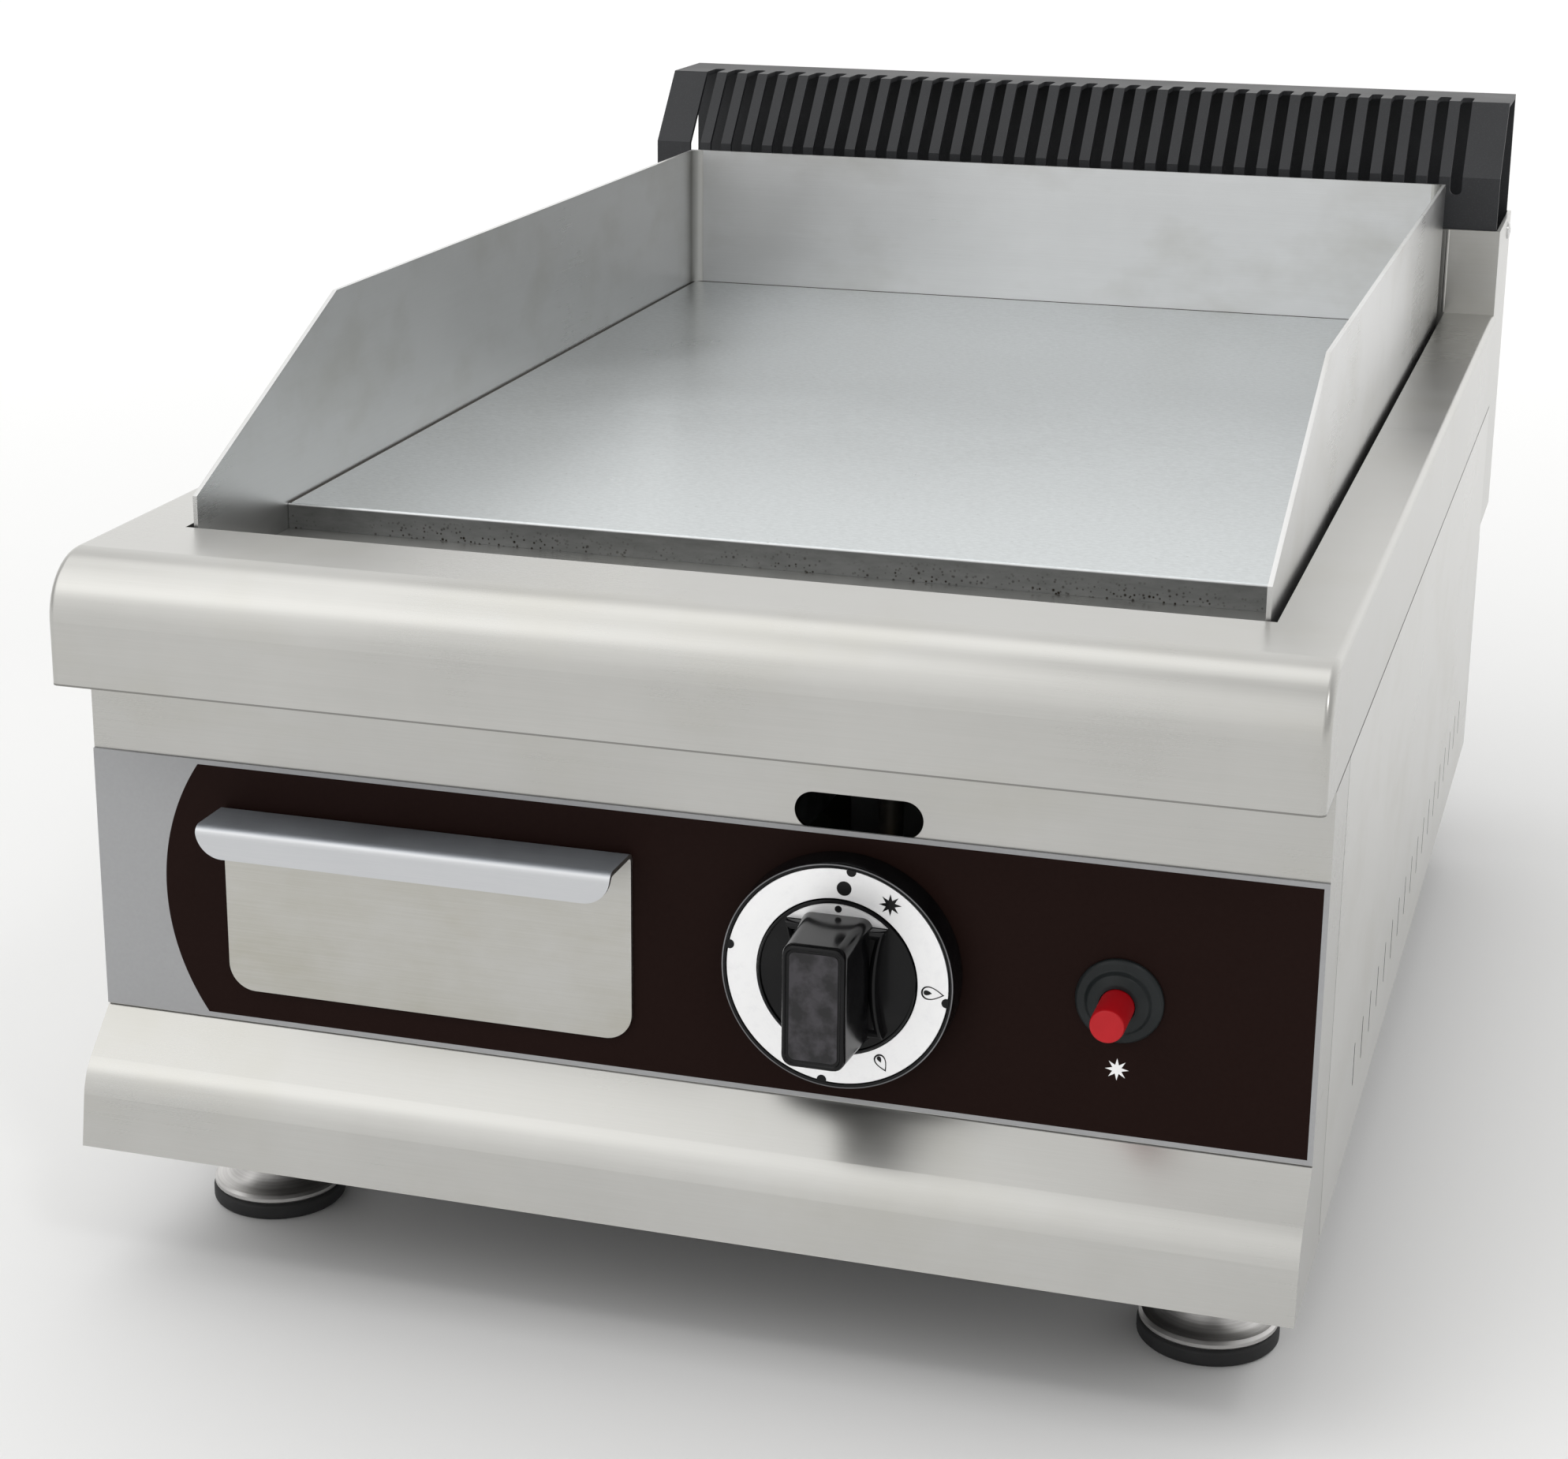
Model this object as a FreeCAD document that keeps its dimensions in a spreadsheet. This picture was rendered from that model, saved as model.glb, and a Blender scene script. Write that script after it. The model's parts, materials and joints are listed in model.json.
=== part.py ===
"""Gas flat top griddle for a counter: a stainless body on four feet, a steel plate
inside splash guards, a grease drawer, one gas control, a piezo igniter and a flue.

Millimetres, +Z up, +X to the right seen from the front, +Y to the back.
The origin is under the middle of the object, on the counter.
"""
import FreeCAD, Part
import math
import os
from types import SimpleNamespace

import Sketcher
from FreeCAD import Placement, Rotation, Vector

CELLS = {
    # whole appliance
    "half_width": 200,
    "front_y": -319,
    "back_y": 331,
    "sheet": 1.5,
    "joint_gap": 0.5,
    "rim": 5,
    # feet
    "foot_x": 164.8,
    "foot_front_y": -244,
    "foot_rear_y": 221,
    "foot_height": 46,
    "foot_radius": 23,
    "pad_height": 6,
    "bell_radius": 21.5,
    "bell_top_radius": 15,
    "bell_height": 22,
    "neck_radius": 11,
    "stud_radius": 5,
    "stud_top": 88,
    "nut_height": 8,
    # worktop
    "top_z": 247.5,
    "skirt_z": 206.5,
    "bullnose": 20,
    "side_bend": 2.5,
    "opening_half": 177,
    "opening_front_y": -267.7,
    # front panel
    "panel_y": -294,
    "seam_y": -261,
    "body_bottom": 46,
    "apron_top": 88,
    "apron_bend_y": -313,
    "apron_bend_z": 70,
    "apron_y": -317,
    "apron_bend": 20,
    # control fascia
    "fascia_thick": 0.8,
    "fascia_top": 178,
    "slot_x": 58.2,
    "slot_z": 183.2,
    "slot_half": 14.2,
    "slot_radius": 6,
    # side panels
    "body_back": 263,
    "slit_width": 1.6,
    "slit_low": 66,
    "slit_high": 81.5,
    "slit_first_y": -183,
    "slit_span": 397,
    "slit_count": 18,
    "flange": 12,
    # griddle plate and guards
    "plate_half": 173.2,
    "plate_front_y": -199.4,
    "plate_back_y": 248.7,
    "plate_bottom": 228,
    "plate_front_z": 240,
    "plate_back_z": 244.4,
    "guard_half": 174.8,
    "guard_back_y": 250.4,
    "guard_top": 306.5,
    "guard_bottom": 229.7,
    "guard_slope_y": -153.7,
    "guard_front_y": -266,
    "guard_front_z": 257.6,
    # grease trough and drain
    "trough_floor": 231,
    "trough_lip": 243,
    "drain_x": -84,
    "drain_y": -233,
    "drain_radius": 15,
    "drain_bottom": 166,
    # grease drawer
    "drawer_left": -153.5,
    "drawer_right": -14,
    "drawer_low": 100.3,
    "drawer_high": 163.5,
    "drawer_front_y": -294.95,
    "drawer_back_y": -6,
    "drawer_side_gap": 4,
    "drawer_floor": 103,
    "drawer_rim": 154,
    "handle_y": -316,
    "handle_lip": 10.5,
    "corner": 9,
    "drawer_overlap": 3.5,
    # gas control
    "knob_x": 55,
    "knob_z": 134.5,
    "knob_radius": 25,
    "bezel_inner": 25.5,
    "bezel_radius": 37,
    "bezel_y": -299.5,
    "dial_radius": 35,
    "dial_y": -305,
    "knob_back_y": -299,
    "knob_hub_y": -306,
    "grip_front_y": -331,
    "grip_half_width": 10,
    "grip_half_height": 21.5,
    "stem_radius": 4,
    "stem_front_y": -312,
    "stem_back_y": -260,
    "valve_half": 19,
    "valve_front_y": -284,
    "valve_bore_y": -249,
    "valve_back_y": -232,
    "valve_bore": 8,
    "valve_neck": 12,
    "collar_front_y": -263,
    "spring_wire": 0.6,
    # igniter
    "igniter_x": 140.2,
    "igniter_z": 134,
    "igniter_bezel": 13.5,
    "igniter_face_y": -300,
    "button_radius": 5.3,
    "button_front_y": -316,
    "button_back_y": -290,
    "igniter_radius": 9.5,
    "igniter_bore_y": -280,
    "igniter_back_y": -240,
    # burner
    "burner_z": 189,
    "burner_radius": 12,
    "burner_pitch": 100,
    "burner_back_y": 221,
    "header_y": -144,
    "venturi_front_y": -222,
    "port_count": 24,
    "port_first_y": -114,
    "port_pitch": 13.6,
    "port_width": 1.5,
    "injector_radius": 7,
    # gas pipe
    "pipe_x": 100,
    "pipe_radius": 8,
    "pipe_wall": 1.5,
    "pipe_bend": 24,
    "inlet_thread": 10.48,
    "inlet_hex": 13,
    "inlet_end_y": 302,
    # flue
    "riser_half": 198.8,
    "way_in_half": 150,
    "screw_radius": 2,
    "riser_low": 146,
    "riser_top": 285,
    "riser_screw_y": 316,
    "riser_screw_z": 278,
    "grille_half": 197,
    "grille_thick": 2,
    "grille_low": 268,
    "grille_bend_z": 308,
    "grille_top_y": 291,
    "grille_top": 338.5,
    "vent_count": 36,
    "vent_span": 356,
    "vent_radius": 2.65,
    "vent_low": 300,
    "vent_end_y": 306,
    # back panel and base pan openings
    "back_vent_count": 9,
    "back_vent_x": -145,
    "back_vent_pitch": 24,
    "back_vent_long": 16,
    "back_vent_wide": 5,
    "back_screw_count": 3,
    "back_screw_x": 190,
    "back_screw_z": 56,
    "back_screw_pitch": 40,
    "air_slot_rows": 4,
    "air_slot_y": -40,
    "air_slot_row_pitch": 20,
    "air_slot_pitch": 62.5,
    "air_slot_half": 15,
    "air_slot_wide": 10,
    # pilot group
    "pilot_bracket_half": 20,
    "pilot_pitch": 12,
    "pilot_radius": 5,
    "pilot_tip_radius": 3,
    "pilot_high": 14,
    "pilot_tip": 4,
    "electrode_radius": 3.5,
    "electrode_wire": 1.2,
    "electrode_high": 16,
    "probe_base_radius": 4,
    "probe_base_high": 8,
    "probe_radius": 2.5,
    "probe_top": 26,
}


class Formula:
    """A size worked out from the sheet's cells: its text for FreeCAD, and its value."""

    def __init__(self, text, value):
        self.text = text
        self.value = value

    def joined(self, sign, other, value):
        return Formula(f"({self.text} {sign} {formula(other).text})", value)

    def __add__(self, other):
        return self.joined("+", other, self.value + formula(other).value)

    def __sub__(self, other):
        return self.joined("-", other, self.value - formula(other).value)

    def __mul__(self, other):
        return self.joined("*", other, self.value * formula(other).value)

    def __truediv__(self, other):
        return self.joined("/", other, self.value / formula(other).value)

    def __neg__(self):
        return Formula(f"(-1 * {self.text})", -self.value)


def formula(size):
    """A plain number as a formula, and a formula as itself."""
    return size if isinstance(size, Formula) else Formula(str(size), size)


doc = FreeCAD.newDocument("flat_top_griddle")
sheet = doc.addObject("Spreadsheet::Sheet", "dims")
for row, (word, size) in enumerate(CELLS.items(), 1):
    sheet.set(f"A{row}", word)
    sheet.set(f"B{row}", str(size))
    sheet.setAlias(f"B{row}", word)
doc.recompute()
d = SimpleNamespace(**{word: Formula(f"dims.{word}", size) for word, size in CELLS.items()})
nodes = []

TURN_Z_TO = {
    "x": Rotation(Vector(0, 1, 0), 90),
    "y": Rotation(Vector(1, 0, 0), -90),
    "z": Rotation(),
}


def bind(obj, prop, size):
    obj.setExpression(prop, formula(size).text)


def place(obj, x, y, z):
    for axis, size in zip("xyz", (x, y, z)):
        bind(obj, f"Placement.Base.{axis}", size)


def node(name, obj):
    """Take an object as the finished sub-part of that name."""
    obj.Label = name
    nodes.append(obj)
    return obj


def block(x, y, z):
    """A box between two limits along each axis."""
    obj = doc.addObject("Part::Box", "block")
    for prop, (low, high) in zip(("Length", "Width", "Height"), (x, y, z)):
        bind(obj, prop, formula(high) - low)
    place(obj, x[0], y[0], z[0])
    return obj


def at(axis, start, first, second):
    """The three coordinates of a point given along an axis, then along the other two."""
    spot = [first, second]
    spot.insert("xyz".index(axis), start)
    return spot


def rod(axis, radius, centre, span):
    """A cylinder along an axis, with its centre on the other two and its two ends."""
    obj = doc.addObject("Part::Cylinder", "rod")
    obj.Placement = Placement(Vector(), TURN_Z_TO[axis])
    bind(obj, "Radius", radius)
    bind(obj, "Height", formula(span[1]) - span[0])
    place(obj, *at(axis, span[0], *centre))
    return obj


def taper(axis, radii, centre, span):
    """A cone along an axis, with the radius at each end."""
    obj = doc.addObject("Part::Cone", "taper")
    obj.Placement = Placement(Vector(), TURN_Z_TO[axis])
    bind(obj, "Radius1", radii[0])
    bind(obj, "Radius2", radii[1])
    bind(obj, "Height", formula(span[1]) - span[0])
    place(obj, *at(axis, span[0], *centre))
    return obj


def hexagon(axis, radius, centre, span):
    """A hexagonal prism along an axis."""
    obj = doc.addObject("Part::Prism", "hexagon")
    obj.Polygon = 6
    obj.Placement = Placement(Vector(), TURN_Z_TO[axis])
    bind(obj, "Circumradius", radius)
    bind(obj, "Height", formula(span[1]) - span[0])
    place(obj, *at(axis, span[0], *centre))
    return obj


def joined(*shapes):
    obj = doc.addObject("Part::MultiFuse", "joined")
    obj.Shapes = list(shapes)
    return obj


def cut(base, *tools):
    obj = doc.addObject("Part::Cut", "cut")
    obj.Base = base
    obj.Tool = tools[0] if len(tools) == 1 else joined(*tools)
    return obj


def together(*shapes):
    """Separate solids that share one node."""
    obj = doc.addObject("Part::Compound", "together")
    obj.Links = list(shapes)
    return obj


def ring(axis, inner, outer, centre, span):
    return cut(rod(axis, outer, centre, span), rod(axis, inner, centre, span))


def sided(sign, near, far):
    """The limits of a span on the right for sign 1, and its mirror for sign -1."""
    return (formula(near), formula(far)) if sign > 0 else (-formula(far), -formula(near))


def new_body(name):
    return doc.addObject("PartDesign::Body", name)


def origin_item(body, role):
    return next(item for item in body.Origin.OriginFeatures if item.Role == role)


def new_sketch(body, role, offset=0):
    """A sketch on one of the body's own planes, moved along the plane's normal."""
    sketch = body.newObject("Sketcher::SketchObject", f"{body.Name}_sketch")
    sketch.AttachmentSupport = [(origin_item(body, role), "")]
    sketch.MapMode = "FlatFace"
    bind(sketch, "AttachmentOffset.Base.z", offset)
    return sketch


def pin_down(sketch, geometry, point, spot):
    """Hold a point of the sketch at a spot worked out from the sheet."""
    for kind, size in zip(("DistanceX", "DistanceY"), spot):
        size = formula(size)
        number = sketch.addConstraint(
            Sketcher.Constraint(kind, -1, 1, geometry, point, size.value))
        bind(sketch, f"Constraints[{number}]", size)


def draw_polygon(sketch, corners):
    """A closed outline of straight sides."""
    spots = [Vector(formula(x).value, formula(y).value, 0) for x, y in corners]
    for start, end in zip(spots, spots[1:] + spots[:1]):
        sketch.addGeometry(Part.LineSegment(start, end), False)
    for side in range(len(spots)):
        after = (side + 1) % len(spots)
        sketch.addConstraint(Sketcher.Constraint("Coincident", side, 2, after, 1))
        pin_down(sketch, side, 1, corners[side])


def draw_stadium(sketch, first, last, radius):
    """An outline with round ends about two centres."""
    ends = [Vector(formula(x).value, formula(y).value, 0) for x, y in (first, last)]
    half = formula(radius).value
    lean = math.atan2(ends[1].y - ends[0].y, ends[1].x - ends[0].x)
    across = Vector(math.sin(lean), -math.cos(lean), 0) * half
    quarter = math.pi / 2
    for centre, start in ((ends[0], lean + quarter), (ends[1], lean - quarter)):
        circle = Part.Circle(centre, Vector(0, 0, 1), half)
        sketch.addGeometry(Part.ArcOfCircle(circle, start, start + math.pi), False)
    sketch.addGeometry(Part.LineSegment(ends[0] + across, ends[1] + across), False)
    sketch.addGeometry(Part.LineSegment(ends[1] - across, ends[0] - across), False)
    for one, end, other, start in ((0, 2, 2, 1), (2, 2, 1, 1), (1, 2, 3, 1), (3, 2, 0, 1)):
        sketch.addConstraint(Sketcher.Constraint("Tangent", one, end, other, start))
    sketch.addConstraint(Sketcher.Constraint("Equal", 0, 1))
    number = sketch.addConstraint(Sketcher.Constraint("Radius", 0, half))
    bind(sketch, f"Constraints[{number}]", radius)
    pin_down(sketch, 0, 3, first)
    pin_down(sketch, 1, 3, last)


def pad(body, sketch, length):
    feature = body.newObject("PartDesign::Pad", f"{body.Name}_pad")
    feature.Profile = sketch
    bind(feature, "Length", length)
    return feature


def pocket(body, sketch, length, reverse=False):
    feature = body.newObject("PartDesign::Pocket", f"{body.Name}_pocket")
    feature.Profile = sketch
    feature.Reversed = reverse
    bind(feature, "Length", length)
    return feature


def side_profile(name, corners, x):
    """A body with an outline seen from the side, in Y and Z, carried across X."""
    body = new_body(name)
    sketch = new_sketch(body, "YZ_Plane", x[0])
    draw_polygon(sketch, corners)
    pad(body, sketch, formula(x[1]) - x[0])
    return body


def near(spot, **wanted):
    """Whether a point lies at the wanted coordinates."""
    return all(abs(getattr(spot, axis) - formula(size).value) < 0.01
               for axis, size in wanted.items())


def round_edges(body, radius, *places):
    """Round the edges whose middles lie at the given places."""
    doc.recompute()
    tip = body.Tip
    edges = [f"Edge{number}" for number, edge in enumerate(tip.Shape.Edges, 1)
             if any(near(edge.CenterOfMass, **wanted) for wanted in places)]
    feature = body.newObject("PartDesign::Fillet", f"{body.Name}_fillet")
    feature.Base = (tip, edges)
    bind(feature, "Radius", radius)
    return feature


def hollow_out(body, *open_faces):
    """Leave a skin of sheet thickness, open at the faces that meet the given limits."""
    doc.recompute()
    tip = body.Tip
    faces = [f"Face{number}" for number, face in enumerate(tip.Shape.Faces, 1)
             if any(near(face.CenterOfMass, **wanted) and flat_on(face, wanted)
                    for wanted in open_faces)]
    feature = body.newObject("PartDesign::Thickness", f"{body.Name}_skin")
    feature.Base = (tip, faces)
    feature.Join = "Intersection"
    feature.Reversed = True
    bind(feature, "Value", d.sheet)
    return feature


def flat_on(face, wanted):
    """Whether a face lies in the plane that one wanted coordinate names."""
    box = face.BoundBox
    return any(getattr(box, f"{axis.upper()}Length") < 0.01 for axis in wanted)


def repeat(body, features, role, length, count):
    """Repeat features in a row along one of the body's axes."""
    pattern = body.newObject("PartDesign::LinearPattern", f"{body.Name}_row")
    pattern.Originals = features
    pattern.Direction = (origin_item(body, role), [""])
    bind(pattern, "Length", length)
    bind(pattern, "Occurrences", count)
    body.Tip = pattern
    return pattern


def worktop():
    """The bezel: a bullnose front edge, short skirts and the opening for the plate."""
    corners = [(d.front_y, d.skirt_z), (d.body_back, d.skirt_z),
               (d.body_back, d.top_z), (d.front_y, d.top_z)]
    body = side_profile("worktop_shell", corners, (-d.half_width, d.half_width))
    round_edges(body, d.bullnose, {"y": d.front_y, "z": d.top_z})
    round_edges(body, d.side_bend, *[
        {"x": end, **level} for end in (d.half_width, -d.half_width)
        for level in ({"z": d.top_z}, {"y": d.front_y})])
    hollow_out(body, {"z": d.skirt_z}, {"y": d.body_back})
    opening = block((-d.opening_half, d.opening_half),
                    (d.opening_front_y, d.body_back + d.rim),
                    (d.skirt_z, d.top_z + d.rim))
    node("worktop", cut(body, opening))


def control_holes():
    """The openings that the front panel and the fascia share."""
    through = (d.apron_y, d.seam_y)
    return [
        block((d.drawer_left + d.drawer_overlap, d.drawer_right - d.drawer_overlap),
              through, (d.drawer_floor - d.joint_gap, d.drawer_high - d.drawer_overlap)),
        rod("y", d.stem_radius + d.sheet, (d.knob_x, d.knob_z), through),
        rod("y", d.igniter_radius + d.joint_gap, (d.igniter_x, d.igniter_z), through),
    ]


def front_frame():
    """The front panel with its side returns, the sloping apron and the viewing slot."""
    corners = [(d.seam_y, d.body_bottom), (d.seam_y, d.skirt_z - d.joint_gap),
               (d.panel_y, d.skirt_z - d.joint_gap), (d.panel_y, d.apron_top),
               (d.apron_bend_y, d.apron_bend_z), (d.apron_y, d.body_bottom)]
    body = side_profile("front_shell", corners, (-d.half_width, d.half_width))
    round_edges(body, d.apron_bend, {"y": d.apron_bend_y, "z": d.apron_bend_z})
    hollow_out(body, {"z": d.body_bottom}, {"z": d.skirt_z - d.joint_gap}, {"y": d.seam_y})
    inside = d.half_width - d.sheet - d.joint_gap
    upper = block((-inside, inside), (d.panel_y, d.panel_y + d.sheet),
                  (d.skirt_z - d.joint_gap, d.top_z - d.sheet - d.joint_gap))
    slot = new_body("viewing_slot")
    sketch = new_sketch(slot, "XZ_Plane", -d.seam_y)
    draw_stadium(sketch, (d.slot_x - d.slot_half, d.slot_z),
                 (d.slot_x + d.slot_half, d.slot_z), d.slot_radius)
    pad(slot, sketch, d.seam_y - d.apron_y)
    node("front_frame", cut(joined(body, upper), slot, *control_holes()))


def control_fascia():
    """The thin printed plate on the front panel, behind the controls."""
    plate = block((-d.half_width, d.half_width), (d.panel_y - d.fascia_thick, d.panel_y),
                  (d.apron_top + d.joint_gap, d.fascia_top))
    node("control_fascia", cut(plate, *control_holes()))


def side_panel(side, sign):
    """A flat side with a row of vent slits and a flange along the bottom."""
    x = sided(sign, d.half_width - d.sheet, d.half_width)
    flange_x = sided(sign, d.half_width - d.flange, d.half_width)
    body = new_body(f"side_{side}_skin")
    sketch = new_sketch(body, "YZ_Plane", x[0])
    front, back = d.seam_y + d.joint_gap, d.body_back
    draw_polygon(sketch, [(front, d.body_bottom), (back, d.body_bottom),
                          (back, d.skirt_z - d.joint_gap), (front, d.skirt_z - d.joint_gap)])
    pad(body, sketch, d.sheet)
    slit = new_sketch(body, "YZ_Plane", x[0])
    draw_stadium(slit, (d.slit_first_y, d.slit_low + d.slit_width / 2),
                 (d.slit_first_y, d.slit_high - d.slit_width / 2), d.slit_width / 2)
    vent = pocket(body, slit, d.sheet, reverse=True)
    repeat(body, [vent], "Y_Axis", d.slit_span, d.slit_count)
    flange = block(flange_x, (front, back), (d.body_bottom, d.body_bottom + d.sheet))
    node(f"side_panel_{side}", joined(body, flange))


def back_panel():
    """The closed back, with a hole for the gas pipe and two rows of vents."""
    y = (d.body_back, d.body_back + d.sheet)
    plate = block((-d.half_width, d.half_width), y,
                  (d.body_bottom, d.riser_low - d.joint_gap))
    holes = [rod("y", d.pipe_radius + d.joint_gap, (d.pipe_x, d.knob_z), y)]
    for number in range(CELLS["back_vent_count"]):
        x = d.back_vent_x + d.back_vent_pitch * number
        holes.append(block((x, x + d.back_vent_long), y,
                           (d.slit_low, d.slit_low + d.back_vent_wide)))
    node("back_panel", cut(plate, *holes))
    head_y = (d.body_back + d.sheet, d.body_back + d.sheet * 2.2)
    heads = []
    for sign in (-1, 1):
        for number in range(CELLS["back_screw_count"]):
            spot = (d.back_screw_x * sign, d.back_screw_z + d.back_screw_pitch * number)
            heads.append(taper("y", (d.screw_radius * 2, d.screw_radius), spot, head_y))
    node("back_panel_screws", together(*heads))


def base_pan():
    """The bottom sheet, with air slots under the burner and holes for the feet."""
    inside = d.half_width - d.sheet - d.joint_gap
    z = (d.body_bottom + d.sheet, d.body_bottom + d.sheet * 2)
    plate = block((-inside, inside), (d.panel_y + d.sheet * 2, d.body_back), z)
    holes = [rod("z", d.stud_radius + d.joint_gap, spot, z) for spot in foot_spots()]
    for number in range(CELLS["air_slot_rows"]):
        y = d.air_slot_y + d.air_slot_row_pitch * number
        for column in (-1, 0, 1):
            x = d.air_slot_pitch * column
            holes.append(block((x - d.air_slot_half, x + d.air_slot_half),
                               (y, y + d.air_slot_wide), z))
    node("base_pan", cut(plate, *holes))


def foot_spots():
    return [(d.foot_x * sign, y) for y in (d.foot_front_y, d.foot_rear_y) for sign in (-1, 1)]


FOOT_NAMES = ("front_left", "front_right", "rear_left", "rear_right")


def foot(name, spot):
    """A levelling foot: a metal bell on a threaded stud, over a rubber pad."""
    shoulder = d.pad_height + d.bell_height
    bell = joined(
        rod("z", d.bell_radius, spot, (d.pad_height, d.pad_height + d.rim)),
        taper("z", (d.bell_radius, d.bell_top_radius), spot,
              (d.pad_height + d.rim, shoulder)),
        rod("z", d.neck_radius, spot, (shoulder, d.foot_height - d.sheet)),
        rod("z", d.stud_radius, spot, (d.foot_height - d.sheet, d.stud_top)),
    )
    node(f"foot_bell_{name}", bell)
    node(f"foot_pad_{name}", rod("z", d.foot_radius, spot, (0, d.pad_height)))


def foot_nuts():
    """The threaded bushes that the studs screw into, on top of the base pan."""
    low = d.body_bottom + d.sheet * 2
    nuts = [cut(hexagon("z", d.stud_radius * 1.9, spot, (low, low + d.nut_height)),
                rod("z", d.stud_radius + 0.05, spot, (low, low + d.nut_height)))
            for spot in foot_spots()]
    node("foot_nuts", together(*nuts))


def griddle_plate():
    """The thick cooking plate, whose top falls gently to the grease trough."""
    corners = [(d.plate_front_y, d.plate_bottom), (d.plate_back_y, d.plate_bottom),
               (d.plate_back_y, d.plate_back_z), (d.plate_front_y, d.plate_front_z)]
    body = side_profile("griddle_slab", corners, (-d.plate_half, d.plate_half))
    round_edges(body, 1, {"y": d.plate_front_y, "z": d.plate_front_z})
    node("griddle_plate", body)


def splash_guards():
    """Three upright sheets welded round the sides and the back of the plate."""
    corners = [(d.guard_front_y, d.guard_bottom), (d.guard_back_y, d.guard_bottom),
               (d.guard_back_y, d.guard_top), (d.guard_slope_y, d.guard_top),
               (d.guard_front_y, d.guard_front_z)]
    for side, sign in (("left", -1), ("right", 1)):
        body = side_profile(f"guard_{side}", corners,
                            sided(sign, d.guard_half - d.sheet, d.guard_half))
        node(f"splash_guard_{side}", body)
    inner = d.guard_half - d.sheet
    node("splash_guard_back",
         block((-inner, inner), (d.guard_back_y - d.sheet, d.guard_back_y),
               (d.guard_bottom, d.guard_top)))


def grease_trough():
    """The gutter in front of the plate, with a drain hole over the drawer."""
    inner = d.guard_half - d.sheet - 0.1
    front, back = d.guard_front_y, d.plate_front_y - 0.1
    floor = block((-inner, inner), (front, back), (d.trough_floor - d.sheet, d.trough_floor))
    lip = block((-inner, inner), (front, front + d.sheet), (d.trough_floor, d.trough_lip))
    web = block((-inner, inner), (back - d.sheet, back),
                (d.trough_floor - d.flange, d.trough_floor))
    hole = rod("z", d.drain_radius, (d.drain_x, d.drain_y),
               (d.trough_floor - d.sheet, d.trough_floor))
    node("grease_trough", cut(joined(floor, lip, web), hole))
    node("drain_chute", ring("z", d.drain_radius, d.drain_radius + d.sheet,
                             (d.drain_x, d.drain_y),
                             (d.drain_bottom, d.trough_floor - d.sheet)))


def plate_rails():
    """Two Z-shaped rails that carry the plate, and the studs that hold it down."""
    y = (d.plate_front_y + d.rim, d.plate_back_y - d.rim)
    low = d.plate_bottom - d.flange * 2
    studs = []
    for side, sign in (("left", -1), ("right", 1)):
        top = block(sided(sign, d.plate_half - d.flange * 2, d.plate_half), y,
                    (d.plate_bottom - d.sheet * 2, d.plate_bottom))
        web = block(sided(sign, d.plate_half - d.sheet * 2, d.plate_half), y,
                    (low, d.plate_bottom))
        foot_flange = block(
            sided(sign, d.plate_half - d.sheet * 2, d.half_width - d.sheet), y,
            (low, low + d.sheet * 2))
        holes = []
        for y_stud in (y[0] + d.flange * 2, y[1] - d.flange * 2):
            spot = ((d.plate_half - d.flange) * sign, y_stud)
            holes.append(rod("z", d.stud_radius, spot, (low, d.plate_bottom)))
            studs.append(rod("z", d.stud_radius - 1, spot, (low, d.plate_bottom)))
            studs.append(hexagon("z", d.stud_radius * 1.6, spot,
                                 (d.plate_bottom - d.flange, d.plate_bottom - d.sheet * 2)))
        node(f"plate_rail_{side}", cut(joined(top, web, foot_flange), *holes))
    pairs = [joined(studs[number], studs[number + 1]) for number in range(0, len(studs), 2)]
    node("plate_studs", together(*pairs))


def heat_shields():
    """Sheets that close the burner space at the sides and behind the controls."""
    low = d.drawer_high + d.sheet
    z = (low, d.plate_bottom - d.sheet * 2)
    front = d.plate_front_y - d.sheet * 2
    reach = d.plate_half - d.flange * 2
    y = (d.plate_front_y + d.sheet, d.plate_back_y)
    for side, sign in (("left", -1), ("right", 1)):
        node(f"heat_shield_{side}",
             block(sided(sign, reach, reach + d.sheet), y, z))
    front_z = (low, d.trough_floor - d.flange - d.joint_gap)
    wall = block((-reach, reach), (front, front + d.sheet), front_z)
    hole = rod("y", d.burner_radius + 1, (d.knob_x, d.burner_z), (front, front + d.sheet))
    lead = rod("y", 3, (d.igniter_x, d.burner_z), (front, front + d.sheet))
    node("heat_shield_front", cut(wall, hole, lead))


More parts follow.
